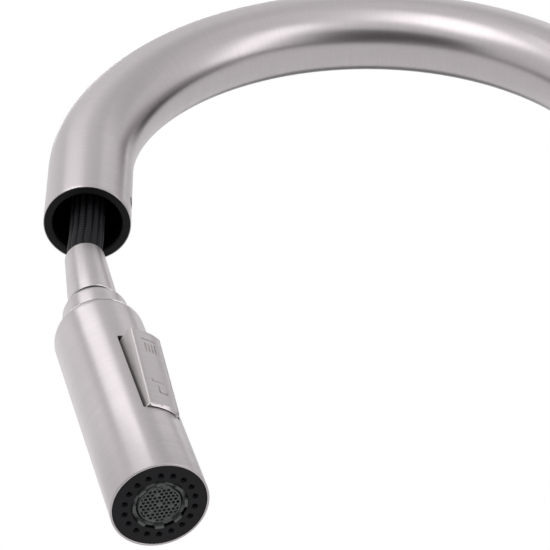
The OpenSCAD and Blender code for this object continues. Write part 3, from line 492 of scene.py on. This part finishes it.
# The first and last corners of the mouth's edge, four points each, only lead its lines in and out.
spout_profile = np.concatenate([np.column_stack([outer, np.full(len(outer), tube_r)]), mouth_edge[4:-4] * mm,
                                np.column_stack([inner, np.full(len(inner), tube_in)])])
steel = brushed_steel("brushed_stainless")
spout = new_piece("spout_tube_brushed", along_spout(spout_profile), steel, ("spout_tube",))
cut(spout, round_bar((0, -reach + 12.5 * mm, window_z), (0, -reach + 20 * mm, window_z), window_r))
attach(spout, "spout")


# Dock insert. A moulded black ring, pressed into the spout's mouth to guide the handset home. Its snap button
# holds it from inside, in the tube's window.
def revolved(profile, matrix=np.eye(3), middle=(0, 0, 0), columns=128, closed=True, edge=30):
    """Shape turned about its own axis: a circle of points at each profile point, (radius, height) in millimetres.
    matrix turns it and middle moves it, in metres. lay holds the girth and the way along the profile."""
    profile = np.array(profile, float) * mm
    theta = np.linspace(0, 2 * np.pi, columns, endpoint=False)[None, :]
    radius, height = profile[:, :1], profile[:, 1:]
    local = np.stack([radius * np.cos(theta), radius * np.sin(theta), height + 0 * theta], -1)
    way = np.concatenate([[0], np.cumsum(np.linalg.norm(np.diff(profile, axis=0), axis=1))])[:, None]
    girth = profile[:, 0].max()
    lay = np.stack([girth * np.cos(theta) + 0 * way, girth * np.sin(theta) + 0 * way, way + 0 * theta], -1)
    return skin(local @ np.array(matrix).T + np.array(middle), lay, closed, edge)


def moulded_plastic(name, dark, pale, roughness, grain=0.25, depth=0.01, level=0.5):
    """Injection-moulded plastic: one colour with a fine spark-eroded grain, 0.25 mm unless it says otherwise, which
    breaks up its gloss."""
    material, tree = new_material(name)
    place = add(tree, "ShaderNodeTexCoord")
    fine = add(tree, "ShaderNodeTexNoise", {
        "Vector": place.outputs["Object"], "Scale": 1 / (grain * mm), "Detail": 2.0})
    broad = add(tree, "ShaderNodeTexNoise", {"Vector": place.outputs["Object"], "Scale": 120.0, "Detail": 2.0})
    colour = add(tree, "ShaderNodeMixRGB", {"Fac": broad.outputs[0], "Color1": linear(dark), "Color2": linear(pale)})
    rough = add(tree, "ShaderNodeMapRange", {
        "Value": fine.outputs[0], "To Min": roughness - 0.06, "To Max": roughness + 0.06})
    bump = add(tree, "ShaderNodeBump", {"Strength": 0.4, "Distance": depth * mm, "Height": fine.outputs[0]})
    shader = add(tree, "ShaderNodeBsdfPrincipled", {
        "Base Color": colour.outputs[0], "Roughness": rough.outputs[0], "Normal": bump.outputs[0],
        "Specular IOR Level": level})
    add(tree, "ShaderNodeOutputMaterial", {"Surface": shader.outputs[0]})
    return material


# Moulded black nylon: satin and nearly without a highlight, so that the mouth reads as a dark ring.
insert_plastic = moulded_plastic("moulded_black_nylon", "#080709", "#0d0c0f", 0.5, level=0.18)
insert_profile = rounded([[14.35, 330], [13.5, 330], [12.7, 328.5], [12.7, 310.5], [13.2, 310], [15.6, 310],
                          [15.6, 312.7], [14.35, 312.7]], 0.2)
insert = new_piece("dock_insert_ring", revolved(insert_profile, middle=(0, -reach, 0)), insert_plastic,
                   ("dock_insert",))
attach(insert, "spout")
button_profile = [[0, 13.6], [3.1, 13.6], [3.1, 15.2], [2.8, 15.5], [0, 15.6]]
button_mesh = revolved(button_profile, turn("X", -np.pi / 2), (0, -reach, window_z), 48, closed=False)
button = new_piece("dock_snap_button", button_mesh, insert_plastic, ("dock_insert",))
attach(button, "spout")


# Hose nut. A turned and brushed cone, which covers the crimp at the hose's end and screws onto the nipple. A thin
# black ring under it is painted shade: it darkens the gap between the nut and the neck's shoulder.
nut_profile = rounded([[6.2, -20], [6.5, -20], [6.5, 0], [6.9, 0], [7.2, -0.5], [8.74, -29.4], [8.34, -29.9],
                       [7.74, -29.9], [7.74, -27.4], [6.2, -27.4]], 0.2)
nut = new_piece("hose_nut_brushed", revolved(nut_profile, nut_turn, nut_place), steel,
                ("hose_nut",))
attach(nut, "nut_link")
# A black ring in the gap between the nut and the neck: painted shade, for the shade that falls under the nut's end.
nut_shade_ring_profile = [[6.3, -32.1], [8.45, -32.1], [8.45, -29.95], [6.3, -29.95]]
washer = new_piece("hose_nut_painted_shade_ring", revolved(nut_shade_ring_profile, nut_turn, nut_place), insert_plastic,
                   ("hose_nut",))
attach(washer, "nut_link")


# Swivel ball. One turned piece: a neck with a rounded shoulder, and below it the ball that the handset leans
# and spins on.
ball_drop = 51.7 * mm
ball_r = 13.7
ball_place = nut_place - nut_turn @ [0, 0, ball_drop]
lean = np.radians(np.linspace(-54.8, 38.2, 30))
ball_profile = np.stack([ball_r * np.cos(lean), ball_r * np.sin(lean)], -1)
# The neck's shoulder is a quarter ellipse, 5 mm wide and 4.2 mm high.
crown = np.radians(np.linspace(0, 76, 12))
crown_profile = np.stack([6.4 + 5 * np.cos(crown), 15.3 + 4.2 * np.sin(crown)], -1)
neck_profile = np.concatenate([[[4.5, -11.2]], ball_profile[1:], [[10.76, 8.88], [11.25, 9.4], [11.4, 9.6]],
                               crown_profile, [[6.4, 19.5], [6.15, 19.6], [6.15, 32.2], [4.5, 32.2]]])
neck = new_piece("swivel_neck_brushed", revolved(neck_profile, nut_turn, ball_place), steel,
                 ("swivel_ball",))
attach(neck, "nut_link")


# Handset shell. A deep-drawn stainless sleeve, brushed round its girth. Its rounded shoulder closes over the
# ball, and a rectangular opening on its side takes the rocker.
head_lean = np.radians(13.44)
rocker_side = np.radians(42)
head_turn = turn("Z", swing_side) @ turn("X", head_lean)
rocker_turn = head_turn @ turn("Z", rocker_side)
face_z = -90.9
shell_r = 15.5
shell_in = 14.1
shoulder_r = 7.2
socket_r = 13.8
shoulder = np.radians(np.linspace(0, 55, 14))
inner_ball = np.radians(np.linspace(28.1, 0, 8))
shell_profile = np.concatenate([
    rounded([[shell_in, -78.9], [14.78, -78.9], [14.78, face_z], [shell_r, face_z], [shell_r, -80]], 0.18)[:-4],
    [[shell_r, -60], [shell_r, -30], [shell_r, -10]],
    np.stack([shell_r - shoulder_r + shoulder_r * np.cos(shoulder), 0.6 + shoulder_r * np.sin(shoulder)], -1),
    np.stack([socket_r * np.cos(inner_ball), socket_r * np.sin(inner_ball)], -1), [[shell_in, 0], [shell_in, -78]]])
shell = new_piece("handset_shell_brushed", revolved(shell_profile, head_turn, ball_place, 160), steel,
                  ("handset_shell",))


def prism(outline, low, high, matrix, middle):
    """Closed prism: the outline of (Y, Z) points, repeated at two heights along local X, all in millimetres, with
    the middle of each end joined to it. matrix turns it and middle moves it."""
    rings = np.stack([np.column_stack([np.full(len(outline), x), outline]) for x in (low, high)])
    middles = rings.mean(1, keepdims=True) + 0 * rings
    points = np.concatenate([middles[:1], rings, middles[1:]]) * mm @ np.array(matrix).T + np.array(middle)
    return skin(points, points, closed=False)


opening = rounded([[-6.9, -61], [6.9, -61], [6.9, -20.2], [-6.9, -20.2]], 0.7)
cut(shell, prism(opening, 8, 20, rocker_turn, ball_place))
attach(shell, "handset")


# Rocker. A cast stainless button on a cross pin, which tips over to change the stream for rain. Its face is
# brushed, its sides are blasted, its ends are bevelled, and its engraved signs stand for the two jets.
def merged_copy(name, node, material, body, own_axes=lambda points: points, edge=30):
    """The CAD node's own shape with its loose triangles merged, so that its round faces are shaded smooth. own_axes
    gives each face's corners in the piece's own axes, for lay. The UV map has the way along Z there in U, or the
    radius on a flat end, and the turn about Z in V."""
    mesh = frame["nodes"][node].data.copy()
    mesh.transform(frame["nodes"][node].matrix_world)
    work = bmesh.new()
    work.from_mesh(mesh)
    bmesh.ops.remove_doubles(work, verts=work.verts, dist=2e-6)
    bmesh.ops.dissolve_degenerate(work, edges=work.edges, dist=1e-7)
    bmesh.ops.triangulate(work, faces=work.faces)
    work.to_mesh(mesh)
    work.free()
    points = np.empty(3 * len(mesh.vertices))
    mesh.vertices.foreach_get("co", points)
    corner = np.empty(len(mesh.loops), np.int32)
    mesh.loops.foreach_get("vertex_index", corner)
    local = own_axes(points.reshape(-1, 3)[corner.reshape(-1, 3)])
    normal = np.cross(local[:, 1] - local[:, 0], local[:, 2] - local[:, 0])
    flat_end = np.abs(normal[:, 2:]) > 0.75 * np.linalg.norm(normal, axis=1)[:, None]
    along = np.where(flat_end, np.hypot(local[..., 0], local[..., 1]), local[..., 2]) * 10
    turned = np.arctan2(local[..., 1], local[..., 0]) / (2 * np.pi)
    turned -= np.round(turned - turned[:, :1])
    while mesh.uv_layers:
        mesh.uv_layers.remove(mesh.uv_layers[0])
    uv = np.stack([along, turned], -1)
    mesh.uv_layers.new(name="way").data.foreach_set("uv", uv.astype(np.float32).ravel())
    mesh.attributes.new("lay", "FLOAT_VECTOR", "CORNER").data.foreach_set("vector", local.astype(np.float32).ravel())
    mesh.shade_smooth()
    mesh.set_sharp_from_angle(angle=np.radians(edge))
    piece = new_piece(name, mesh, material, (node,))
    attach(piece, body)
    return piece


def about(matrix, middle):
    """The function that gives points in the axes of matrix about middle."""
    return lambda points: (points - np.array(middle)) @ np.array(matrix)


def round_over(piece, matrix, middle, radius, half, roll):
    """Shades the faces that lie at that radius from local Z as one round face: each of their corners takes the
    direction away from the axis as its normal. Over a last stretch, roll, up to the edges at half the width, the
    normal turns up to 40 degrees further, as on a rounded edge. Faces count that lie within 0.03 mm and 12
    degrees of that round face."""
    mesh = piece.data
    points, corner = np.empty(3 * len(mesh.vertices)), np.empty(len(mesh.loops), np.int32)
    flat, shaded = np.empty(3 * len(mesh.polygons)), np.empty(3 * len(mesh.loops))
    mesh.vertices.foreach_get("co", points)
    mesh.loops.foreach_get("vertex_index", corner)
    mesh.polygons.foreach_get("normal", flat)
    mesh.corner_normals.foreach_get("vector", shaded)
    local = about(matrix, middle)(points.reshape(-1, 3)[corner]) * [1, 1, 0]
    away = np.linalg.norm(local, axis=1)[:, None]
    outward = local / away @ np.array(matrix).T
    facing = np.sum(outward * np.repeat(flat.reshape(-1, 3), 3, 0), 1)[:, None]
    past = np.clip((np.abs(local[:, 1]) - half + roll) / roll, 0, 1) * np.sign(local[:, 1]) * np.radians(40)
    angle = np.arctan2(local[:, 1], local[:, 0]) + past
    rolled = np.stack([np.cos(angle), np.sin(angle), 0 * angle], -1) @ np.array(matrix).T
    fits = (np.abs(away - radius) < 0.03 * mm) & (facing > np.cos(np.radians(12)))
    mesh.normals_split_custom_set(np.where(fits, rolled, shaded.reshape(-1, 3)).tolist())


rocker_z = -40.6
rocker_face = 18.5
rocker_half = 5.8 * mm
rolled_edge = 1.1 * mm
rocker_lean = np.radians(5.7)
pin_x = 9.9
tip_turn = rocker_turn @ turn("Y", rocker_lean)
tip_place = ball_place + (rocker_turn - tip_turn) @ (np.array([pin_x, 0, rocker_z]) * mm)
rocker = merged_copy("spray_rocker_brushed", "spray_rocker", steel, "rocker",
                     about(tip_turn, tip_place))
round_over(rocker, tip_turn, tip_place, rocker_face * mm, rocker_half, rolled_edge)


def plain_steel(name, dark, pale, roughness):
    """Stainless steel without brush lines, blasted or engraved: dull, and a little mottled."""
    material, tree = new_material(name)
    place = add(tree, "ShaderNodeTexCoord")
    grain = add(tree, "ShaderNodeTexNoise", {"Vector": place.outputs["Object"], "Scale": 3000.0, "Detail": 2.0})
    colour = add(tree, "ShaderNodeMixRGB", {"Fac": grain.outputs[0], "Color1": linear(dark), "Color2": linear(pale)})
    shader = add(tree, "ShaderNodeBsdfPrincipled", {
        "Base Color": colour.outputs[0], "Metallic": 1.0, "Roughness": roughness})
    add(tree, "ShaderNodeOutputMaterial", {"Surface": shader.outputs[0]})
    return material


def repaint(piece, material, matrix, middle, chosen):
    """Gives that material to the faces that chosen picks, from their centres in millimetres and their normals, both
    in the axes of matrix about middle."""
    mesh = piece.data
    centres, normals = np.empty(3 * len(mesh.polygons)), np.empty(3 * len(mesh.polygons))
    mesh.polygons.foreach_get("center", centres)
    mesh.polygons.foreach_get("normal", normals)
    picked = chosen(about(matrix, middle)(centres.reshape(-1, 3)) / mm, normals.reshape(-1, 3) @ np.array(matrix))
    index = np.empty(len(mesh.polygons), np.int32)
    mesh.polygons.foreach_get("material_index", index)
    mesh.materials.append(material)
    mesh.polygons.foreach_set("material_index", np.where(picked, len(mesh.materials) - 1, index).astype(np.int32))


# The side walls face along Y. They are blasted, and paler than the brushed face: partly their own finish, partly
# painted light that lifts the shade falling on them in the narrow gap.
repaint(rocker, plain_steel("blasted_stainless_painted_light", "#bab4b4", "#c4bebe", 0.5), tip_turn, tip_place,
        lambda centre, normal: np.abs(normal[:, 1]) > 0.9)
# The signs' floors lie under the face, in an area 8 mm wide and 36 mm long. They are engraved, and a bit darker.
repaint(rocker, plain_steel("engraved_stainless", "#a39d9b", "#aea8a6", 0.6), tip_turn, tip_place,
        lambda centre, normal: (centre[:, 0] > rocker_face - 1.2) & (np.abs(centre[:, 1]) < 4)
        & (np.abs(centre[:, 2] - rocker_z) < 18) & (np.linalg.norm(centre[:, :2], axis=1) < rocker_face - 0.08))


# Spray face. A moulded black disc, pressed into the shell's mouth, with a round well for each of the soft
# nozzles that stand back in it.
face_r = 14.66
face_hole = 8.75
face_edge = 0.12
nozzle_count = 18
nozzle_ring = 11.1
first_nozzle = np.radians(11.3)
well_r, well_wall, well_depth = 1.0, 0.25, 0.7
jet_r, jet_wall, jet_depth = 0.5, 0.12, 1.5
# Moulded black ABS: dull, with a cold tone and a weak reflection of the studio.
face_black = moulded_plastic("moulded_black_abs", "#0b0a0e", "#121116", 0.5, level=0.2)


def face_of_wells():
    """Flat ring on a polar grid. Its height falls into a round well at each nozzle, by a smooth step of the
    distance from the nozzle's axis, and down again into the nozzle's own hole."""
    columns = nozzle_count * 32
    radius = np.concatenate([[9.5], [face_hole], [face_hole + 0.1], np.linspace(9.4, 12.8, 46),
                             [14.3, face_r - face_edge, face_r, face_r]])
    height = np.concatenate([[3.0], [0.15], [0], np.zeros(46), [0, 0, face_edge, 3.0]])
    theta = np.linspace(0, 2 * np.pi, columns, endpoint=False)
    nearest = (theta - first_nozzle + np.pi / nozzle_count) % (2 * np.pi / nozzle_count) - np.pi / nozzle_count
    x = radius[:, None] * np.cos(nearest) - nozzle_ring
    y = radius[:, None] * np.sin(nearest)
    away = np.hypot(x, y)
    step = np.clip((well_r - away) / well_wall, 0, 1)
    hole = np.clip((jet_r - away) / jet_wall, 0, 1)
    sink = well_depth * step * step * (3 - 2 * step) + jet_depth * hole * hole * (3 - 2 * hole)
    local = np.stack([radius[:, None] * np.cos(theta), radius[:, None] * np.sin(theta),
                      face_z + height[:, None] + sink], -1) * mm
    return skin(local @ head_turn.T + ball_place, local, closed=True, edge=35)


face = new_piece("spray_face_black", face_of_wells(), face_black, ("spray_face",))
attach(face, "handset")


# Nozzle mat. Moulded in one piece with its 18 nozzles, behind the face. The CAD's own shape stays, and takes this
# material. Moulded black silicone: soft and dull, so that the wells look deep.
silicone = moulded_plastic("moulded_silicone", "#0b0b0c", "#101012", 0.6, level=0.2)


# Aerator ring. A moulded grey nut in the middle of the face, with a screen in its front. The aerator key grips
# its eight raised lugs.
lug_count = 8
lug_half = np.radians(10.9)
lug_side = np.radians(0.8)
# Moulded grey acetal: smooth and a little waxy, with soft highlights on its edges.
aerator_grey = moulded_plastic("moulded_grey_acetal", "#3c3e3f", "#484a4b", 0.42)


def castellated_ring():
    """Ring whose front stands 0.6 mm proud over the lugs and 0.8 mm back between them. A profile point is (radius,
    height) and what a lug adds to each, which comes in over the lug's steep sides as a linear step of the turn."""
    theta = np.linspace(0, 2 * np.pi, lug_count * 60, endpoint=False)
    nearest = np.abs((theta - first_nozzle + np.pi / lug_count) % (2 * np.pi / lug_count) - np.pi / lug_count)
    lug = np.clip((lug_half - nearest) / lug_side, 0, 1)
    profile = [[7.25, 9, 0, 0], [7.25, 0.9, 0, 0], [7.33, 0.82, 0, 0], [7.58, 0.82, 0, 0], [7.6, 0.82, 1.35, 0],
               [7.7, 0.82, 1.45, 0], [8.1, 0.82, 1.45, 0.33], [8.2, 0.9, 1.44, 0.35], [8.25, 1.0, 1.1, 0.3],
               [8.5, 1.0, 0, 0.05], [8.6, 1.1, 0, 0], [8.6, 9, 0, 0]]
    r, h, up, out = np.array(profile).T[:, :, None]
    radius = r + out * lug
    local = np.stack([radius * np.cos(theta), radius * np.sin(theta), face_z + h - up * lug], -1) * mm
    return skin(local @ head_turn.T + ball_place, local, closed=True, edge=35)


ring = new_piece("aerator_ring_grey", castellated_ring(), aerator_grey, ("aerator_ring",))
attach(ring, "handset")


# Aerator screen. A moulded grey plate full of small round holes, which part the water into fine streams. It sits
# in the front of the aerator ring.
merged_copy("aerator_screen_grey", "aerator_screen", aerator_grey, "handset",
            about(head_turn, ball_place), 35)


# Body. A drawn stainless shell over the brass valve block, on a turned base flange, with a cap ring where the
# spout turns. Its side boss carries the lever.
flange_profile = rounded([[16.8, 2.5], [26.2, 2.5], [26.2, 0.6], [28, 0.6], [28, 5]], 0.3)
# The flange's rim is a quarter round of 3 mm.
rim = np.radians(np.linspace(0, 90, 8))
flange_profile = np.concatenate([flange_profile[:-4], np.stack([25 + 3 * np.cos(rim), 5 + 3 * np.sin(rim)], -1),
                                 [[22.7, 8], [16.8, 8]]])
flange = new_piece("base_flange_brushed", revolved(flange_profile), steel, ("base_flange",))
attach(flange, "faucet_body")
cap_profile = rounded([[16.3, 155.5], [16.3, 150], [19, 146.7], [20.9, 146.7], [20.95, 150], [23, 150], [23, 151],
                       [18, 155.5]], 0.3)
cap = new_piece("body_cap_brushed", revolved(cap_profile), steel, ("body_cap",))
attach(cap, "faucet_body")
boss_z = 105 * mm
boss_r = 18.2 * mm
boss_start = 14 * mm
lever_axes = np.array([[0, 0, 1], [0, 1, 0], [-1, 0, 0]])


def shell_axes(points):
    """The boss's own axes for the faces whose middle is in the boss, and the body's for the others."""
    middle = points.mean(1, keepdims=True)
    away = np.hypot(middle[..., 1:2], middle[..., 2:] - boss_z)
    in_boss = (middle[..., :1] > boss_start) & (away < boss_r)
    return np.where(in_boss, about(lever_axes, (0, 0, boss_z))(points), points)


merged_copy("body_shell_brushed", "body_shell", steel, "faucet_body", shell_axes)


# Lever. A cast and brushed hub over the cartridge's cover, with a turned rod screwed into it, which leans out by
# 12 degrees. A grub screw behind the hub holds it on the stem.
def turned_metal(name, dark, pale, roughness, spacing=0.3):
    """Bare metal in two close tones and fine tool lines, which make the highlight uneven. The real lines lie about
    0.1 mm apart and are drawn wider, so that they show."""
    material, tree = new_material(name)
    place = add(tree, "ShaderNodeTexCoord")
    fine = add(tree, "ShaderNodeMapping", {"Vector": place.outputs["Object"], "Scale": (60, 60, 1 / (spacing * mm))})
    lines = add(tree, "ShaderNodeTexNoise", {"Vector": fine.outputs[0], "Scale": 1.0, "Detail": 3.0})
    colour = add(tree, "ShaderNodeMixRGB", {"Fac": lines.outputs[0], "Color1": linear(dark), "Color2": linear(pale)})
    rough = add(tree, "ShaderNodeMapRange", {
        "Value": lines.outputs[0], "To Min": roughness - 0.08, "To Max": roughness + 0.08})
    bump = add(tree, "ShaderNodeBump", {"Strength": 0.3, "Distance": 0.01 * mm, "Height": lines.outputs[0]})
    shader = add(tree, "ShaderNodeBsdfPrincipled", {
        "Base Color": colour.outputs[0], "Metallic": 1.0, "Roughness": rough.outputs[0], "Normal": bump.outputs[0]})
    add(tree, "ShaderNodeOutputMaterial", {"Surface": shader.outputs[0]})
    return material


# Ground steel: a cold grey with short, bright highlights.
pin_steel = turned_metal("ground_steel", "#8d8e92", "#a4a5a9", 0.32)
hub_place = (30 * mm, 0, boss_z)
rod_axes = np.array([[0.978, 0, 0.208], [0, 1, 0], [-0.208, 0, 0.978]])
merged_copy("lever_hub_brushed", "lever_hub", steel, "lever", about(lever_axes, hub_place))
merged_copy("lever_rod_brushed", "lever_rod", steel, "lever",
            about(rod_axes, (35.5 * mm, 0, boss_z)))
merged_copy("lever_screw_ground", "lever_screw", pin_steel, "lever")
merged_copy("cartridge_cover_brushed", "cartridge_cover", steel, "faucet_body",
            about(lever_axes, hub_place))


# Clamp. Under the flange a rubber gasket seals the sink. Below it the threaded brass shank takes a gasket, a steel
# washer and a brass nut, whose two screws press the washer up.
def moulded_rubber(name, dark, pale):
    """Moulded EPDM rubber: dull and nearly black, with a faint bloom in broad patches."""
    material, tree = new_material(name)
    place = add(tree, "ShaderNodeTexCoord")
    bloom = add(tree, "ShaderNodeTexNoise", {"Vector": place.outputs["Object"], "Scale": 90.0, "Detail": 4.0})
    colour = add(tree, "ShaderNodeMixRGB", {"Fac": bloom.outputs[0], "Color1": linear(dark), "Color2": linear(pale)})
    rough = add(tree, "ShaderNodeMapRange", {"Value": bloom.outputs[0], "To Min": 0.85, "To Max": 0.6})
    shader = add(tree, "ShaderNodeBsdfPrincipled", {
        "Base Color": colour.outputs[0], "Roughness": rough.outputs[0], "Specular IOR Level": 0.3})
    add(tree, "ShaderNodeOutputMaterial", {"Surface": shader.outputs[0]})
    return material


rubber = moulded_rubber("moulded_epdm", "#1b1b1d", "#2b2b2d")
# Turned brass: a warm yellow that shades to brown, with the tool's rings in it.
brass = turned_metal("turned_brass", "#ab8a4b", "#c9a765", 0.3)
merged_copy("deck_gasket_rubber", "deck_gasket", rubber, "faucet_body")
merged_copy("threaded_shank_brass", "threaded_shank", brass, "faucet_body", edge=50)
merged_copy("clamp_gasket_rubber", "clamp_gasket", rubber, "faucet_body")
merged_copy("clamp_washer_steel", "clamp_washer", pin_steel, "faucet_body")
merged_copy("mounting_nut_brass", "mounting_nut", brass, "faucet_body")
merged_copy("clamp_screws_steel", "clamp_screws", pin_steel, "faucet_body")


# Outlet pipe. A bent copper pipe, which brings the mixed water down from the cartridge. The hose is screwed to the
# brass connector brazed to its end.
# Drawn copper: a red tone, smoother than brass, with broad marks of the die, 1.2 mm apart.
copper = turned_metal("drawn_copper", "#a9654a", "#cb8666", 0.28, 1.2)
merged_copy("outlet_pipe_copper", "outlet_pipe", copper, "faucet_body", edge=40)
merged_copy("hose_connector_brass", "hose_connector", brass, "faucet_body")


# Counterweight. Two cast iron halves in grey paint, screwed together round the hose's loop. They draw the handset
# back into the spout.
def painted_casting(name, dark, pale):
    """Painted cast iron: a coat of grey paint, half matt, which leaves the casting's grain of about 1.5 mm to be
    seen and catches the light on it."""
    material, tree = new_material(name)
    place = add(tree, "ShaderNodeTexCoord")
    grain = add(tree, "ShaderNodeTexNoise", {"Vector": place.outputs["Object"], "Scale": 700.0, "Detail": 5.0})
    colour = add(tree, "ShaderNodeMixRGB", {"Fac": grain.outputs[0], "Color1": linear(dark), "Color2": linear(pale)})
    bump = add(tree, "ShaderNodeBump", {"Strength": 0.6, "Distance": 0.15 * mm, "Height": grain.outputs[0]})
    shader = add(tree, "ShaderNodeBsdfPrincipled", {
        "Base Color": colour.outputs[0], "Roughness": 0.5, "Normal": bump.outputs[0]})
    add(tree, "ShaderNodeOutputMaterial", {"Surface": shader.outputs[0]})
    return material


cast_iron = painted_casting("painted_cast_iron", "#66696c", "#787b7e")
weight = merged_copy("counterweight_cast", "counterweight", cast_iron, "weight")
weight_screws = merged_copy("weight_screws_steel", "weight_screws", pin_steel, "weight")


# Inner pieces. The CAD's own shapes stay for what is out of sight: valve, cartridge, guides, waterway and check
# valve. Each takes its slot's material.
# Moulded acetal, white or red: smooth and a little waxy. Lapped alumina: milky white, nearly a mirror.
white_acetal = moulded_plastic("moulded_white_acetal", "#dcdad2", "#e4e2db", 0.42)
red_acetal = moulded_plastic("moulded_red_acetal", "#a9382b", "#b94434", 0.42)
ceramic = moulded_plastic("lapped_alumina", "#e7e2d6", "#efeadf", 0.16, grain=0.1, depth=0.001)
finishes = {
    "brushed_stainless": steel, "turned_brass": brass, "copper_pipe": copper, "black_insert_plastic": insert_plastic,
    "black_face_plastic": face_black, "nozzle_silicone": silicone, "grey_aerator_plastic": aerator_grey,
    "white_acetal": white_acetal, "red_acetal": red_acetal, "seal_rubber": rubber, "disc_ceramic": ceramic,
    "braided_hose": braid, "pin_steel": pin_steel, "cast_weight": cast_iron}
for part in frame["record"]["subparts"]:
    for held in frame["nodes"][part["node"]].material_slots:
        held.material = finishes[part["material_slot"]]
